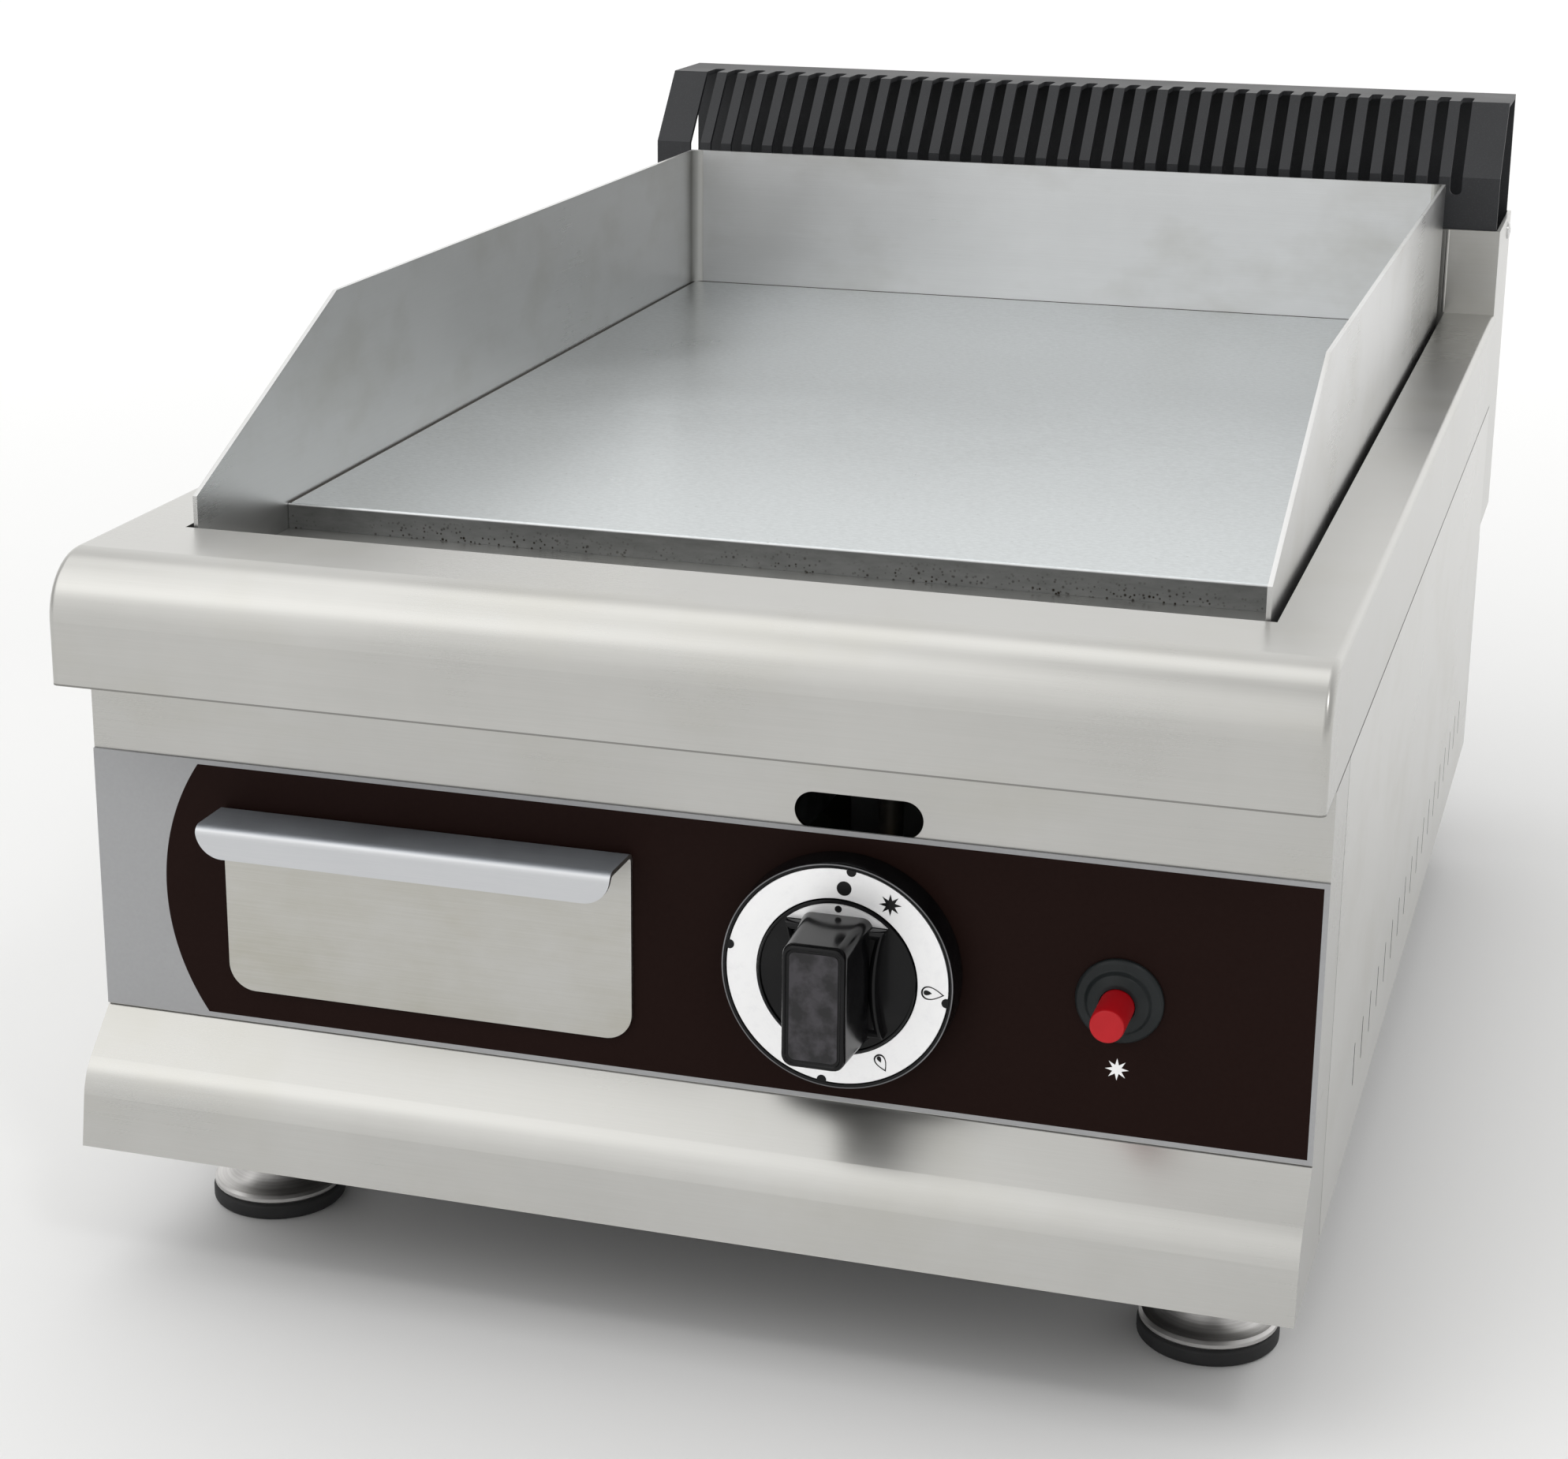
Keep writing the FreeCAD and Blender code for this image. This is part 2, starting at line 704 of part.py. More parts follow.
def grease_drawer():
    """The drawer box, its front with a folded handle, and the two runners."""
    x = (d.drawer_left + d.drawer_side_gap, d.drawer_right - d.drawer_side_gap)
    y = (d.drawer_front_y, d.drawer_back_y)
    outer = block(x, y, (d.drawer_floor, d.drawer_rim))
    inner = block((x[0] + d.sheet, x[1] - d.sheet), (y[0] + d.sheet, y[1] - d.sheet),
                  (d.drawer_floor + d.sheet, d.drawer_rim))
    node("grease_drawer", cut(outer, inner))
    face, plate = d.drawer_front_y, d.drawer_front_y - d.sheet
    lip_low, fold = d.drawer_high - d.handle_lip, d.drawer_high - d.sheet
    corners = [(face, d.drawer_low), (face, d.drawer_high), (d.handle_y, d.drawer_high),
               (d.handle_y, lip_low), (d.handle_y + d.sheet, lip_low),
               (d.handle_y + d.sheet, fold), (plate, fold), (plate, d.drawer_low)]
    body = side_profile("drawer_face", corners, (d.drawer_left, d.drawer_right))
    ends = (d.drawer_left, d.drawer_right)
    round_edges(body, d.corner,
                *[{"x": end, "y": face - d.sheet / 2, "z": d.drawer_low} for end in ends])
    round_edges(body, d.corner,
                *[{"x": end, "y": d.handle_y + d.sheet / 2, "z": lip_low} for end in ends])
    round_edges(body, d.sheet * 2, {"y": d.handle_y, "z": d.drawer_high},
                {"y": face, "z": d.drawer_high})
    round_edges(body, d.sheet, {"y": d.handle_y + d.sheet, "z": fold}, {"y": plate, "z": fold})
    node("drawer_front", body)
    runner_y = (d.panel_y + d.sheet, d.drawer_back_y)
    floor = (d.drawer_floor - d.sheet * 1.2, d.drawer_floor - d.sheet * 0.2)
    for side, near_x, sign in (("left", x[0], 1), ("right", x[1], -1)):
        wall_x = (near_x - sign * 0.5, near_x - sign * 2)
        wall_x = wall_x if sign < 0 else wall_x[::-1]
        shelf_x = (near_x - sign * 2, near_x + d.flange * sign)
        shelf_x = shelf_x if sign > 0 else shelf_x[::-1]
        wall = block(wall_x, runner_y, (floor[0], d.drawer_rim))
        node(f"drawer_runner_{side}", joined(wall, block(shelf_x, runner_y, floor)))
    post_y = d.drawer_back_y - d.flange * 2
    node("drawer_crossbar", block((x[0] - 2, x[1] + 2), (post_y, post_y + d.sheet),
                                  (d.body_bottom + d.sheet * 2, floor[0])))


def burner():
    """Three ported tubes on one header, with a venturi, an injector and two rails."""
    ends = (d.header_y, d.burner_back_y)
    wide = d.burner_radius + 2
    header = (-d.burner_pitch - wide, d.burner_pitch + wide)
    centres = [d.burner_pitch * number for number in (-1, 0, 1)]
    bore = d.burner_radius - d.sheet
    outer = [rod("y", d.burner_radius, (x, d.burner_z), ends) for x in centres]
    outer.append(rod("x", wide, (d.header_y, d.burner_z), header))
    outer.append(rod("y", d.burner_radius, (d.knob_x, d.burner_z),
                     (d.venturi_front_y, d.header_y)))
    inner = [rod("y", bore, (x, d.burner_z), (ends[0], ends[1] - d.sheet)) for x in centres]
    inner.append(rod("x", wide - d.sheet, (d.header_y, d.burner_z),
                     (header[0] + d.sheet, header[1] - d.sheet)))
    inner.append(rod("y", bore, (d.knob_x, d.burner_z), (d.venturi_front_y, d.header_y)))
    for number in range(CELLS["port_count"]):
        y = d.port_first_y + d.port_pitch * number
        inner.append(block((header[0], header[1]), (y, y + d.port_width),
                           (d.burner_z + bore - 1, d.burner_z + d.burner_radius + 1)))
    node("burner", cut(joined(*outer), *inner))
    low = d.burner_z - d.burner_radius
    rail_x = d.plate_half - d.flange * 2
    for name, y in (("front", d.header_y + d.burner_radius * 3), ("rear", d.burner_back_y - 20)):
        top = block((-rail_x, rail_x), (y, y + d.flange), (low - d.sheet, low))
        web = block((-rail_x, rail_x), (y, y + d.sheet), (low - d.flange, low))
        node(f"burner_rail_{name}", joined(top, web))


def elbow(radius, x, y):
    """A quarter turn of the gas pipe, from the left to the back, about a point."""
    obj = doc.addObject("Part::Torus", "elbow")
    obj.Placement = Placement(Vector(), Rotation(Vector(0, 0, 1), -90))
    obj.Angle3 = 90
    bind(obj, "Radius1", d.pipe_bend)
    bind(obj, "Radius2", radius)
    place(obj, x, y, d.knob_z)
    return obj


def gas_train():
    """The inlet union, the supply pipe, the valve, its feed pipe and the injector."""
    radius = d.pipe_radius
    bore = radius - d.pipe_wall
    front_y = (d.valve_bore_y + d.valve_back_y) / 2 - d.sheet
    start = d.body_back - 6
    turn_x, turn_y = d.pipe_x - d.pipe_bend, front_y + d.pipe_bend
    node("gas_pipe", joined(
        ring("y", bore, radius, (d.pipe_x, d.knob_z), (turn_y, start)),
        ring("x", bore, radius, (front_y, d.knob_z), (d.knob_x + d.valve_half, turn_x)),
        cut(elbow(radius, turn_x, turn_y), elbow(bore, turn_x, turn_y))))
    node("gas_inlet_union", cut(
        joined(rod("y", d.pipe_radius, (d.pipe_x, d.knob_z), (start, d.body_back + d.sheet)),
               hexagon("y", d.inlet_hex, (d.pipe_x, d.knob_z),
                       (d.body_back + d.sheet, d.body_back + d.sheet + d.flange)),
               rod("y", d.inlet_thread, (d.pipe_x, d.knob_z),
                   (d.body_back + d.sheet + d.flange, d.inlet_end_y))),
        rod("y", bore, (d.pipe_x, d.knob_z), (start, d.inlet_end_y))))
    spot = (d.knob_x, d.knob_z)
    body = joined(
        block((d.knob_x - d.valve_half, d.knob_x + d.valve_half),
              (d.valve_front_y, d.valve_back_y),
              (d.knob_z - d.valve_half, d.knob_z + d.valve_half)),
        rod("y", d.valve_neck, spot, (d.panel_y + d.sheet, d.valve_front_y)))
    node("gas_valve_body", cut(
        body,
        rod("y", d.stem_radius + 0.05, spot, (d.panel_y + d.sheet, d.valve_front_y + d.flange)),
        rod("y", d.valve_bore, spot, (d.valve_front_y + d.flange, d.valve_bore_y))))
    top = d.burner_z - d.injector_radius
    node("injector_feed_pipe",
         ring("z", d.stem_radius - 1, d.stem_radius, (d.knob_x, front_y),
              (d.knob_z + d.valve_half, top)))
    node("injector", cut(
        joined(hexagon("z", d.injector_radius, (d.knob_x, front_y),
                       (top, d.burner_z + d.injector_radius)),
               taper("y", (d.injector_radius - 1, 3), (d.knob_x, d.burner_z),
                     (front_y + d.injector_radius - 2, front_y + d.injector_radius + 6))),
        rod("y", 1, (d.knob_x, d.burner_z), (front_y, front_y + d.injector_radius + 6)),
        rod("z", 3, (d.knob_x, front_y), (top, d.burner_z))))


def control_knob():
    """The fixed bezel and dial, the knob with its grip, and the stem and collar."""
    spot = (d.knob_x, d.knob_z)
    face = d.panel_y - d.fascia_thick
    node("knob_bezel", cut(taper("y", (d.bezel_radius - 1, d.bezel_radius), spot,
                                 (d.bezel_y, face)),
                           rod("y", d.bezel_inner, spot, (d.bezel_y, face))))
    node("dial_ring", cut(taper("y", (d.dial_radius - 1.5, d.dial_radius), spot,
                                (d.dial_y, d.bezel_y)),
                          rod("y", d.bezel_inner, spot, (d.dial_y, d.bezel_y))))
    grip = block((d.knob_x - d.grip_half_width, d.knob_x + d.grip_half_width),
                 (d.grip_front_y, d.knob_hub_y),
                 (d.knob_z - d.grip_half_height, d.knob_z + d.grip_half_height))
    hub = rod("y", d.knob_radius, spot, (d.knob_hub_y, d.knob_back_y))
    socket = rod("y", d.stem_radius, spot, (d.stem_front_y, d.knob_back_y))
    node("control_knob", cut(joined(hub, grip), socket))
    node("valve_stem", rod("y", d.stem_radius, spot, (d.stem_front_y, d.stem_back_y)))
    node("valve_collar", ring("y", d.stem_radius + 0.05, d.valve_bore - 0.1, spot,
                              (d.collar_front_y, d.stem_back_y)))
    node("valve_spring", spring(d.valve_bore - 2, spot, d.stem_back_y, d.valve_bore_y))


def spring(radius, spot, low_y, high_y):
    """A coil spring of round wire between two flat seats."""
    wire = d.spring_wire
    height = high_y - low_y - wire * 2
    helix = doc.addObject("Part::Helix", "helix")
    bind(helix, "Radius", radius)
    bind(helix, "Height", height)
    bind(helix, "Pitch", height / 4)
    section = doc.addObject("Part::Circle", "section")
    section.Placement = Placement(Vector(), Rotation(Vector(1, 0, 0), 90))
    bind(section, "Radius", wire)
    bind(section, "Placement.Base.x", radius)
    coil = doc.addObject("Part::Sweep", "coil")
    coil.Sections = [section]
    coil.Spine = (helix, ["Edge1"])
    coil.Solid = True
    coil.Frenet = True
    coil.Placement = Placement(Vector(), TURN_Z_TO["y"])
    place(coil, spot[0], low_y + wire, spot[1])
    return coil


def igniter():
    """The piezo igniter behind the panel, with its bezel, nut, button and spring."""
    spot = (d.igniter_x, d.igniter_z)
    face = d.panel_y - d.fascia_thick
    bore = d.button_radius + 0.3
    back = d.panel_y + d.sheet
    node("igniter_bezel", ring("y", bore, d.igniter_bezel, spot, (d.igniter_face_y, face)))
    node("piezo_igniter", cut(rod("y", d.igniter_radius, spot, (face, d.igniter_back_y)),
                              rod("y", bore, spot, (face, d.igniter_bore_y))))
    node("igniter_nut", cut(hexagon("y", d.igniter_bezel + 2, spot, (back, back + d.rim)),
                            rod("y", d.igniter_radius, spot, (back, back + d.rim))))
    node("igniter_button", rod("y", d.button_radius, spot, (d.button_front_y, d.button_back_y)))
    node("igniter_spring", spring(d.button_radius - 2, spot, d.button_back_y, d.igniter_bore_y))


def pilot_group():
    """The bracket by the middle tube with the pilot, the electrode and the thermocouple."""
    y = d.header_y + d.burner_radius * 3 + d.flange
    x = d.burner_pitch / 2
    low = d.burner_z - d.burner_radius
    top = low + d.flange
    wide = (x - d.pilot_bracket_half, x + d.pilot_bracket_half)
    node("pilot_bracket", joined(
        block(wide, (y, y + d.sheet), (low - d.flange, top)),
        block(wide, (y + d.sheet, y + d.flange * 2), (top - d.sheet, top))))
    spot_y = y + d.flange + d.sheet
    pilot, probe = (x - d.pilot_pitch, spot_y), (x + d.pilot_pitch, spot_y)
    node("pilot_burner", joined(
        rod("z", d.pilot_radius, pilot, (top, top + d.pilot_high)),
        taper("z", (d.pilot_radius, d.pilot_tip_radius), pilot,
              (top + d.pilot_high, top + d.pilot_high + d.pilot_tip))))
    node("spark_electrode", joined(
        rod("z", d.electrode_radius, (x, spot_y), (top, top + d.electrode_high)),
        rod("z", d.electrode_wire, (x, spot_y), (top + d.electrode_high, top + d.probe_top))))
    node("thermocouple", joined(
        rod("z", d.probe_base_radius, probe, (top, top + d.probe_base_high)),
        rod("z", d.probe_radius, probe, (top + d.probe_base_high, top + d.probe_top))))


def flue_riser():
    """The open-topped duct at the back, its way in under the plate, and two screws."""
    half = d.riser_half
    outer = block((-half, half), (d.body_back, d.back_y), (d.riser_low, d.riser_top))
    inner = block((d.sheet - half, half - d.sheet), (d.body_back + d.sheet, d.back_y - d.sheet),
                  (d.riser_low + d.sheet, d.riser_top))
    way_in = block((-d.way_in_half, d.way_in_half), (d.body_back, d.body_back + d.sheet),
                   (d.riser_low + d.flange, d.plate_bottom - d.flange))
    spot = (d.riser_screw_y, d.riser_screw_z)
    holes, screws = [], []
    for sign in (-1, 1):
        holes.append(rod("x", d.screw_radius, spot, sided(sign, half - d.sheet, half)))
        radii = (d.screw_radius * 2, d.screw_radius)
        head = taper("x", radii if sign > 0 else radii[::-1], spot,
                     sided(sign, half, d.half_width))
        shank = rod("x", d.screw_radius, spot, sided(sign, half - d.rim, half))
        screws.append(joined(head, shank))
    node("flue_riser", cut(outer, inner, way_in, *holes))
    node("riser_screws", together(*screws))


def flue_grille():
    """The slotted cover bent over the duct, open at both ends."""
    thick = d.grille_thick
    front = d.body_back + d.sheet + 0.3
    back = d.back_y - d.sheet - 0.3
    outline = [(front, d.grille_low), (front, d.grille_bend_z), (d.grille_top_y, d.grille_top),
               (back, d.grille_top), (back, d.grille_low), (back - thick, d.grille_low),
               (back - thick, d.grille_top - thick),
               (d.grille_top_y + thick * 0.45, d.grille_top - thick),
               (front + thick, d.grille_bend_z - thick * 0.4), (front + thick, d.grille_low)]
    body = side_profile("grille_cover", outline, (-d.grille_half, d.grille_half))
    first_x = d.vent_span / -2
    upright = new_sketch(body, "XZ_Plane", -(d.vent_end_y - d.vent_radius))
    draw_stadium(upright, (first_x, d.vent_low + d.vent_radius),
                 (first_x, d.grille_top + d.corner), d.vent_radius)
    slope = pocket(body, upright, d.vent_end_y - front, reverse=True)
    flat = new_sketch(body, "XY_Plane", d.grille_top - thick - d.rim)
    draw_stadium(flat, (first_x, front), (first_x, d.vent_end_y - d.vent_radius),
                 d.vent_radius)
    crown = pocket(body, flat, d.rim * 3, reverse=True)
    repeat(body, [slope, crown], "X_Axis", d.vent_span, d.vent_count)
    node("flue_grille", body)


worktop()
front_frame()
control_fascia()
for side_name, side_sign in (("left", -1), ("right", 1)):
    side_panel(side_name, side_sign)
back_panel()
base_pan()
for foot_name, foot_spot in zip(FOOT_NAMES, foot_spots()):
    foot(foot_name, foot_spot)
foot_nuts()
griddle_plate()
splash_guards()
grease_trough()
plate_rails()
heat_shields()
grease_drawer()
burner()
gas_train()
control_knob()
igniter()
pilot_group()
flue_riser()
flue_grille()

doc.recompute()
for item in doc.Objects:
    if {"Invalid", "Error"} & set(item.State):
        raise RuntimeError(f"{item.Label} failed: {item.State}")
for part in nodes:
    if part.Shape.isNull() or not part.Shape.isValid():
        raise RuntimeError(f"{part.Label} has no valid shape")

os.makedirs("parts", exist_ok=True)
for part in nodes:
    part.Shape.exportStep(f"parts/{part.Label}.step")
    box = part.Shape.BoundBox
    print(f"{part.Label:24s} solids {len(part.Shape.Solids)}  volume {part.Shape.Volume:10.0f}"
          f"  x {box.XMin:7.1f} {box.XMax:7.1f}  y {box.YMin:7.1f} {box.YMax:7.1f}"
          f"  z {box.ZMin:6.1f} {box.ZMax:6.1f}")
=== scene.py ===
import json
import math

import bmesh
import bpy
from mathutils import Matrix, Vector


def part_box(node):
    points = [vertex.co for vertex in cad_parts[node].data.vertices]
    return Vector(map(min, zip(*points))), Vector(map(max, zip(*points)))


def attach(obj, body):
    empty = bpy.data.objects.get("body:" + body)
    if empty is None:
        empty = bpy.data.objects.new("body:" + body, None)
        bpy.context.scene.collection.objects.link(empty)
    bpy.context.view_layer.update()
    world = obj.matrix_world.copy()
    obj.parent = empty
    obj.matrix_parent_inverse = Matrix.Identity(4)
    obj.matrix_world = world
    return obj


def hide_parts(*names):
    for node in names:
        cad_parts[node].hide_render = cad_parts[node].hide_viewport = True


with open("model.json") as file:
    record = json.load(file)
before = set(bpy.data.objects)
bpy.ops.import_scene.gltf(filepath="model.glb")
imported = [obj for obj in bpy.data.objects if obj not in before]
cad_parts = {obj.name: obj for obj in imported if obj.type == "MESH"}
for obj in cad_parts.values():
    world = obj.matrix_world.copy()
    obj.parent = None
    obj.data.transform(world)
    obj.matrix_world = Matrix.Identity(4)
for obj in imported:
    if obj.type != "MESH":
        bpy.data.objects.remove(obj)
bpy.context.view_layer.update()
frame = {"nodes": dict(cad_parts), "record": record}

NODES = frame["nodes"]

# ---------------------------------------------------------------- materials


class Graph:
    """One material's nodes, built by short calls."""

    def __init__(self, name, metallic=0.0, **constants):
        self.material = bpy.data.materials.new(name)
        self.material.use_nodes = True
        self.tree = self.material.node_tree
        self.tree.nodes.clear()
        self.shader = self.tree.nodes.new("ShaderNodeBsdfPrincipled")
        output = self.tree.nodes.new("ShaderNodeOutputMaterial")
        self.tree.links.new(self.shader.outputs[0], output.inputs["Surface"])
        self.shader.inputs["Metallic"].default_value = metallic
        for socket, value in constants.items():
            self.shader.inputs[socket.replace("_", " ")].default_value = value
        self.place = self.node("TexCoord").outputs["Object"]

    def feed(self, socket, value):
        if isinstance(value, bpy.types.NodeSocket):
            self.tree.links.new(value, socket)
        else:
            socket.default_value = value

    def node(self, kind, inputs=None, **settings):
        made = self.tree.nodes.new(f"ShaderNode{kind}")
        for key, value in settings.items():
            setattr(made, key, value)
        for key, value in (inputs or {}).items():
            self.feed(made.inputs[key], value)
        return made

    def math(self, operation, first, second=0.0, clamp=False):
        made = self.node("Math", {0: first, 1: second}, operation=operation)
        made.use_clamp = clamp
        return made.outputs[0]

    def stretched(self, scale):
        """The object's own coordinates, scaled along each axis."""
        return self.node("Mapping", {"Vector": self.place, "Scale": scale}).outputs[0]

    def noise(self, scale, stretch=(1, 1, 1), detail=3.0, roughness=0.55):
        made = self.node("TexNoise", {"Vector": self.stretched(stretch), "Scale": scale,
                                      "Detail": detail, "Roughness": roughness})
        return made.outputs["Fac"]

    def specks(self, scale, low, high):
        """Small round spots of a cell pattern, 1 in their middles."""
        cells = self.node("TexVoronoi", {"Vector": self.place, "Scale": scale})
        return self.levels(cells.outputs["Distance"], high, low)

    def levels(self, value, low, high, out_low=0.0, out_high=1.0):
        made = self.node("MapRange", {"Value": value, "From Min": low, "From Max": high,
                                      "To Min": out_low, "To Max": out_high})
        return made.outputs[0]

    def mix(self, factor, first, second):
        made = self.node("Mix", data_type="RGBA")
        for key, value in (("Factor", factor), ("A", first), ("B", second)):
            sockets = [s for s in made.inputs if s.name == key]
            self.feed(sockets[0] if key == "Factor" else sockets[-1 if len(sockets) < 3 else 2],
                      (*value, 1.0) if isinstance(value, tuple) else value)
        return made.outputs[2]

    def axis(self, index, source=None):
        split = self.node("SeparateXYZ", {0: source or self.place})
        return split.outputs[index]

    def facing(self, index):
        """The surface normal's part along one axis."""
        return self.axis(index, self.node("NewGeometry").outputs["Normal"])

    def finish(self, color=None, roughness=None, height=None, strength=0.1, distance=0.0002):
        if color is not None:
            self.feed(self.shader.inputs["Base Color"],
                      (*color, 1.0) if isinstance(color, tuple) else color)
        if roughness is not None:
            self.feed(self.shader.inputs["Roughness"], roughness)
        if height is not None:
            bump = self.node("Bump", {"Height": height, "Strength": strength,
                                      "Distance": distance})
            self.feed(self.shader.inputs["Normal"], bump.outputs[0])
        return self.material


def along(grain, short, long):
    """Scales that stretch a pattern along one axis."""
    return tuple(long if axis == grain else short for axis in "xyz")


def brushed(name, grain, bright=(0.515, 0.512, 0.495), dull=(0.44, 0.436, 0.418),
            rough=(0.25, 0.34), edge_z=None, inside=None, slit_z=None):
    """Brushed sheet: fine and broad streaks along the grain, with faint handling marks.

    Below edge_z the lower edge is painted dark, as painted shade; inside lists the limits of
    the inner faces painted near-black, soot and painted shade, as (axis, sign, limit); above
    slit_z the faces not facing along x (the slit walls and cut edges) are painted near-black
    as the shade inside the slits.
    """
    g = Graph(name, metallic=1.0, Anisotropic=0.5, Anisotropic_Rotation=0.25)
    fine = g.noise(1.0, along(grain, 2600, 30), detail=1.0)
    broad = g.noise(1.0, along(grain, 150, 2.5), detail=3.0, roughness=0.5)
    marks = g.noise(9.0, detail=5.0, roughness=0.62)
    streaks = g.math("ADD", g.math("MULTIPLY", fine, 0.6), g.math("MULTIPLY", broad, 0.4))
    tone = g.math("ADD", g.math("MULTIPLY", streaks, 0.32), g.math("MULTIPLY", marks, 0.68))
    color = g.mix(g.levels(tone, 0.3, 0.7), dull, bright)
    stains = g.levels(g.noise(17.0, (1, 1, 1.6), detail=4.0), 0.5, 0.72, 0.0, 0.35)
    color = g.mix(stains, color, (0.43, 0.42, 0.375))
    if edge_z is not None:
        # painted shade: a dark line along the sheet's lower edge
        lower = g.math("LESS_THAN", g.axis(2), edge_z)
        color = g.mix(g.math("MULTIPLY", lower, 0.6), color, (0.08, 0.078, 0.07))
    if slit_z is not None:
        # painted shade: faces not facing along x above slit_z (slit walls, cut edges) made
        # near-black
        slit_shade = g.math("LESS_THAN", g.math("ABSOLUTE", g.facing(0)), 0.5)
        slit_shade = g.math("MULTIPLY", slit_shade, g.math("GREATER_THAN", g.axis(2), slit_z))
        color = g.mix(slit_shade, color, (0.012, 0.011, 0.01))
    if inside:
        within = None
        for axis, sign, limit in inside:
            value = g.axis(axis) if sign else g.math("ABSOLUTE", g.axis(axis))
            test = g.math("GREATER_THAN" if sign > 0 else "LESS_THAN", value, limit)
            within = test if within is None else g.math("MULTIPLY", within, test)
        # near-black inner faces: soot, and painted shade inside the box
        soot_and_shade = g.mix(g.noise(35.0, detail=5.0), (0.02, 0.018, 0.016), (0.06, 0.052, 0.046))
        color = g.mix(within, color, soot_and_shade)
    return g.finish(color, g.levels(tone, 0.3, 0.7, *rough), streaks, strength=0.008,
                    distance=0.0001)


def drawer_steel():
    """The drawer's front: a warm, stained face; the folded handle's lip painted lighter (painted
    light) and its top faces painted blue-grey (painted reflection).
    """
    low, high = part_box("drawer_front")
    g = Graph("drawer_stainless", metallic=1.0)
    streaks = g.noise(1.0, (30, 2200, 2200), detail=2.0)
    marks = g.noise(22.0, (1, 1, 1.3), detail=5.0, roughness=0.6)
    face = g.mix(g.levels(marks, 0.35, 0.68), (0.46, 0.45, 0.405), (0.53, 0.525, 0.5))
    stains = g.levels(g.noise(38.0, (0.7, 1, 1), detail=4.0), 0.56, 0.75, 0.0, 0.3)
    face = g.mix(stains, face, (0.42, 0.39, 0.31))
    # painted light: the handle's front lip made lighter and bluer than the face
    lip = g.mix(marks, (0.53, 0.54, 0.56), (0.61, 0.62, 0.635))
    # painted reflection: upward faces tinted blue-grey
    top = g.mix(marks, (0.4, 0.425, 0.47), (0.48, 0.51, 0.55))
    front = g.levels(g.axis(1), low.y + 0.004, low.y + 0.0012)
    upward = g.levels(g.facing(2), 0.55, 0.9)
    handle = g.math("LESS_THAN", g.axis(1), high.y - 0.0022)
    color = g.mix(g.math("MULTIPLY", handle, front), face, lip)
    color = g.mix(upward, color, top)
    color = g.mix(g.math("MULTIPLY", g.levels(streaks, 0.35, 0.7), 0.12), color,
                  (0.72, 0.72, 0.72))
    roughness = g.math("ADD", g.levels(marks, 0.3, 0.7, 0.36, 0.46),
                       g.math("MULTIPLY", upward, 0.16))
    return g.finish(color, roughness, streaks, strength=0.06, distance=0.0001)


def plate_steel():
    """The cooking plate: a ground top with a blue-grey cast, a darker pitted front edge, and a
    painted highlight along the front edge's top.
    """
    low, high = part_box("griddle_plate")
    g = Graph("plate_steel", metallic=1.0)
    grain = g.noise(1.0, (700, 2400, 900), detail=3.0)
    clouds = g.noise(5.0, detail=6.0, roughness=0.65)
    top = g.mix(g.levels(clouds, 0.3, 0.7), (0.51, 0.54, 0.548), (0.57, 0.6, 0.61))
    top = g.mix(g.math("MULTIPLY", g.levels(grain, 0.3, 0.75), 0.6), top, (0.67, 0.7, 0.71))
    flecks = g.levels(g.noise(420.0, (1, 1.8, 1), detail=2.0), 0.35, 0.65)
    top = g.mix(g.math("MULTIPLY", flecks, 0.28), top, (0.36, 0.38, 0.385))
    freckles = g.math("MULTIPLY", g.specks(150.0, 0.02, 0.09), 0.5)
    top = g.mix(freckles, top, (0.3, 0.3, 0.29))
    mottle = g.noise(1.0, (90, 90, 300), detail=5.0, roughness=0.65)
    edge = g.mix(g.levels(mottle, 0.3, 0.7), (0.2, 0.205, 0.205), (0.265, 0.27, 0.27))
    depth = g.levels(g.axis(2), low.z + 0.0105, low.z + 0.005)
    patches = g.levels(g.noise(30.0, (1, 1, 0.3), detail=3.0), 0.4, 0.52)
    coarse = g.math("MAXIMUM", g.specks(340.0, 0.1, 0.22), g.specks(610.0, 0.14, 0.3))
    pits = g.math("MULTIPLY", coarse, g.math("MULTIPLY", depth, patches))
    edge = g.mix(pits, edge, (0.03, 0.024, 0.018))
    # painted highlight: a light line along the top of the front edge
    top_edge_highlight = g.levels(g.axis(2), low.z + 0.0112, low.z + 0.0117)
    edge = g.mix(top_edge_highlight, edge, (0.66, 0.67, 0.67))
    front = g.levels(g.facing(1), -0.5, -0.9)
    color = g.mix(front, top, edge)
    roughness = g.math("ADD", g.levels(clouds, 0.3, 0.7, 0.27, 0.34),
                       g.math("MULTIPLY", front, 0.12))
    return g.finish(color, roughness, grain, strength=0.12, distance=0.0001)


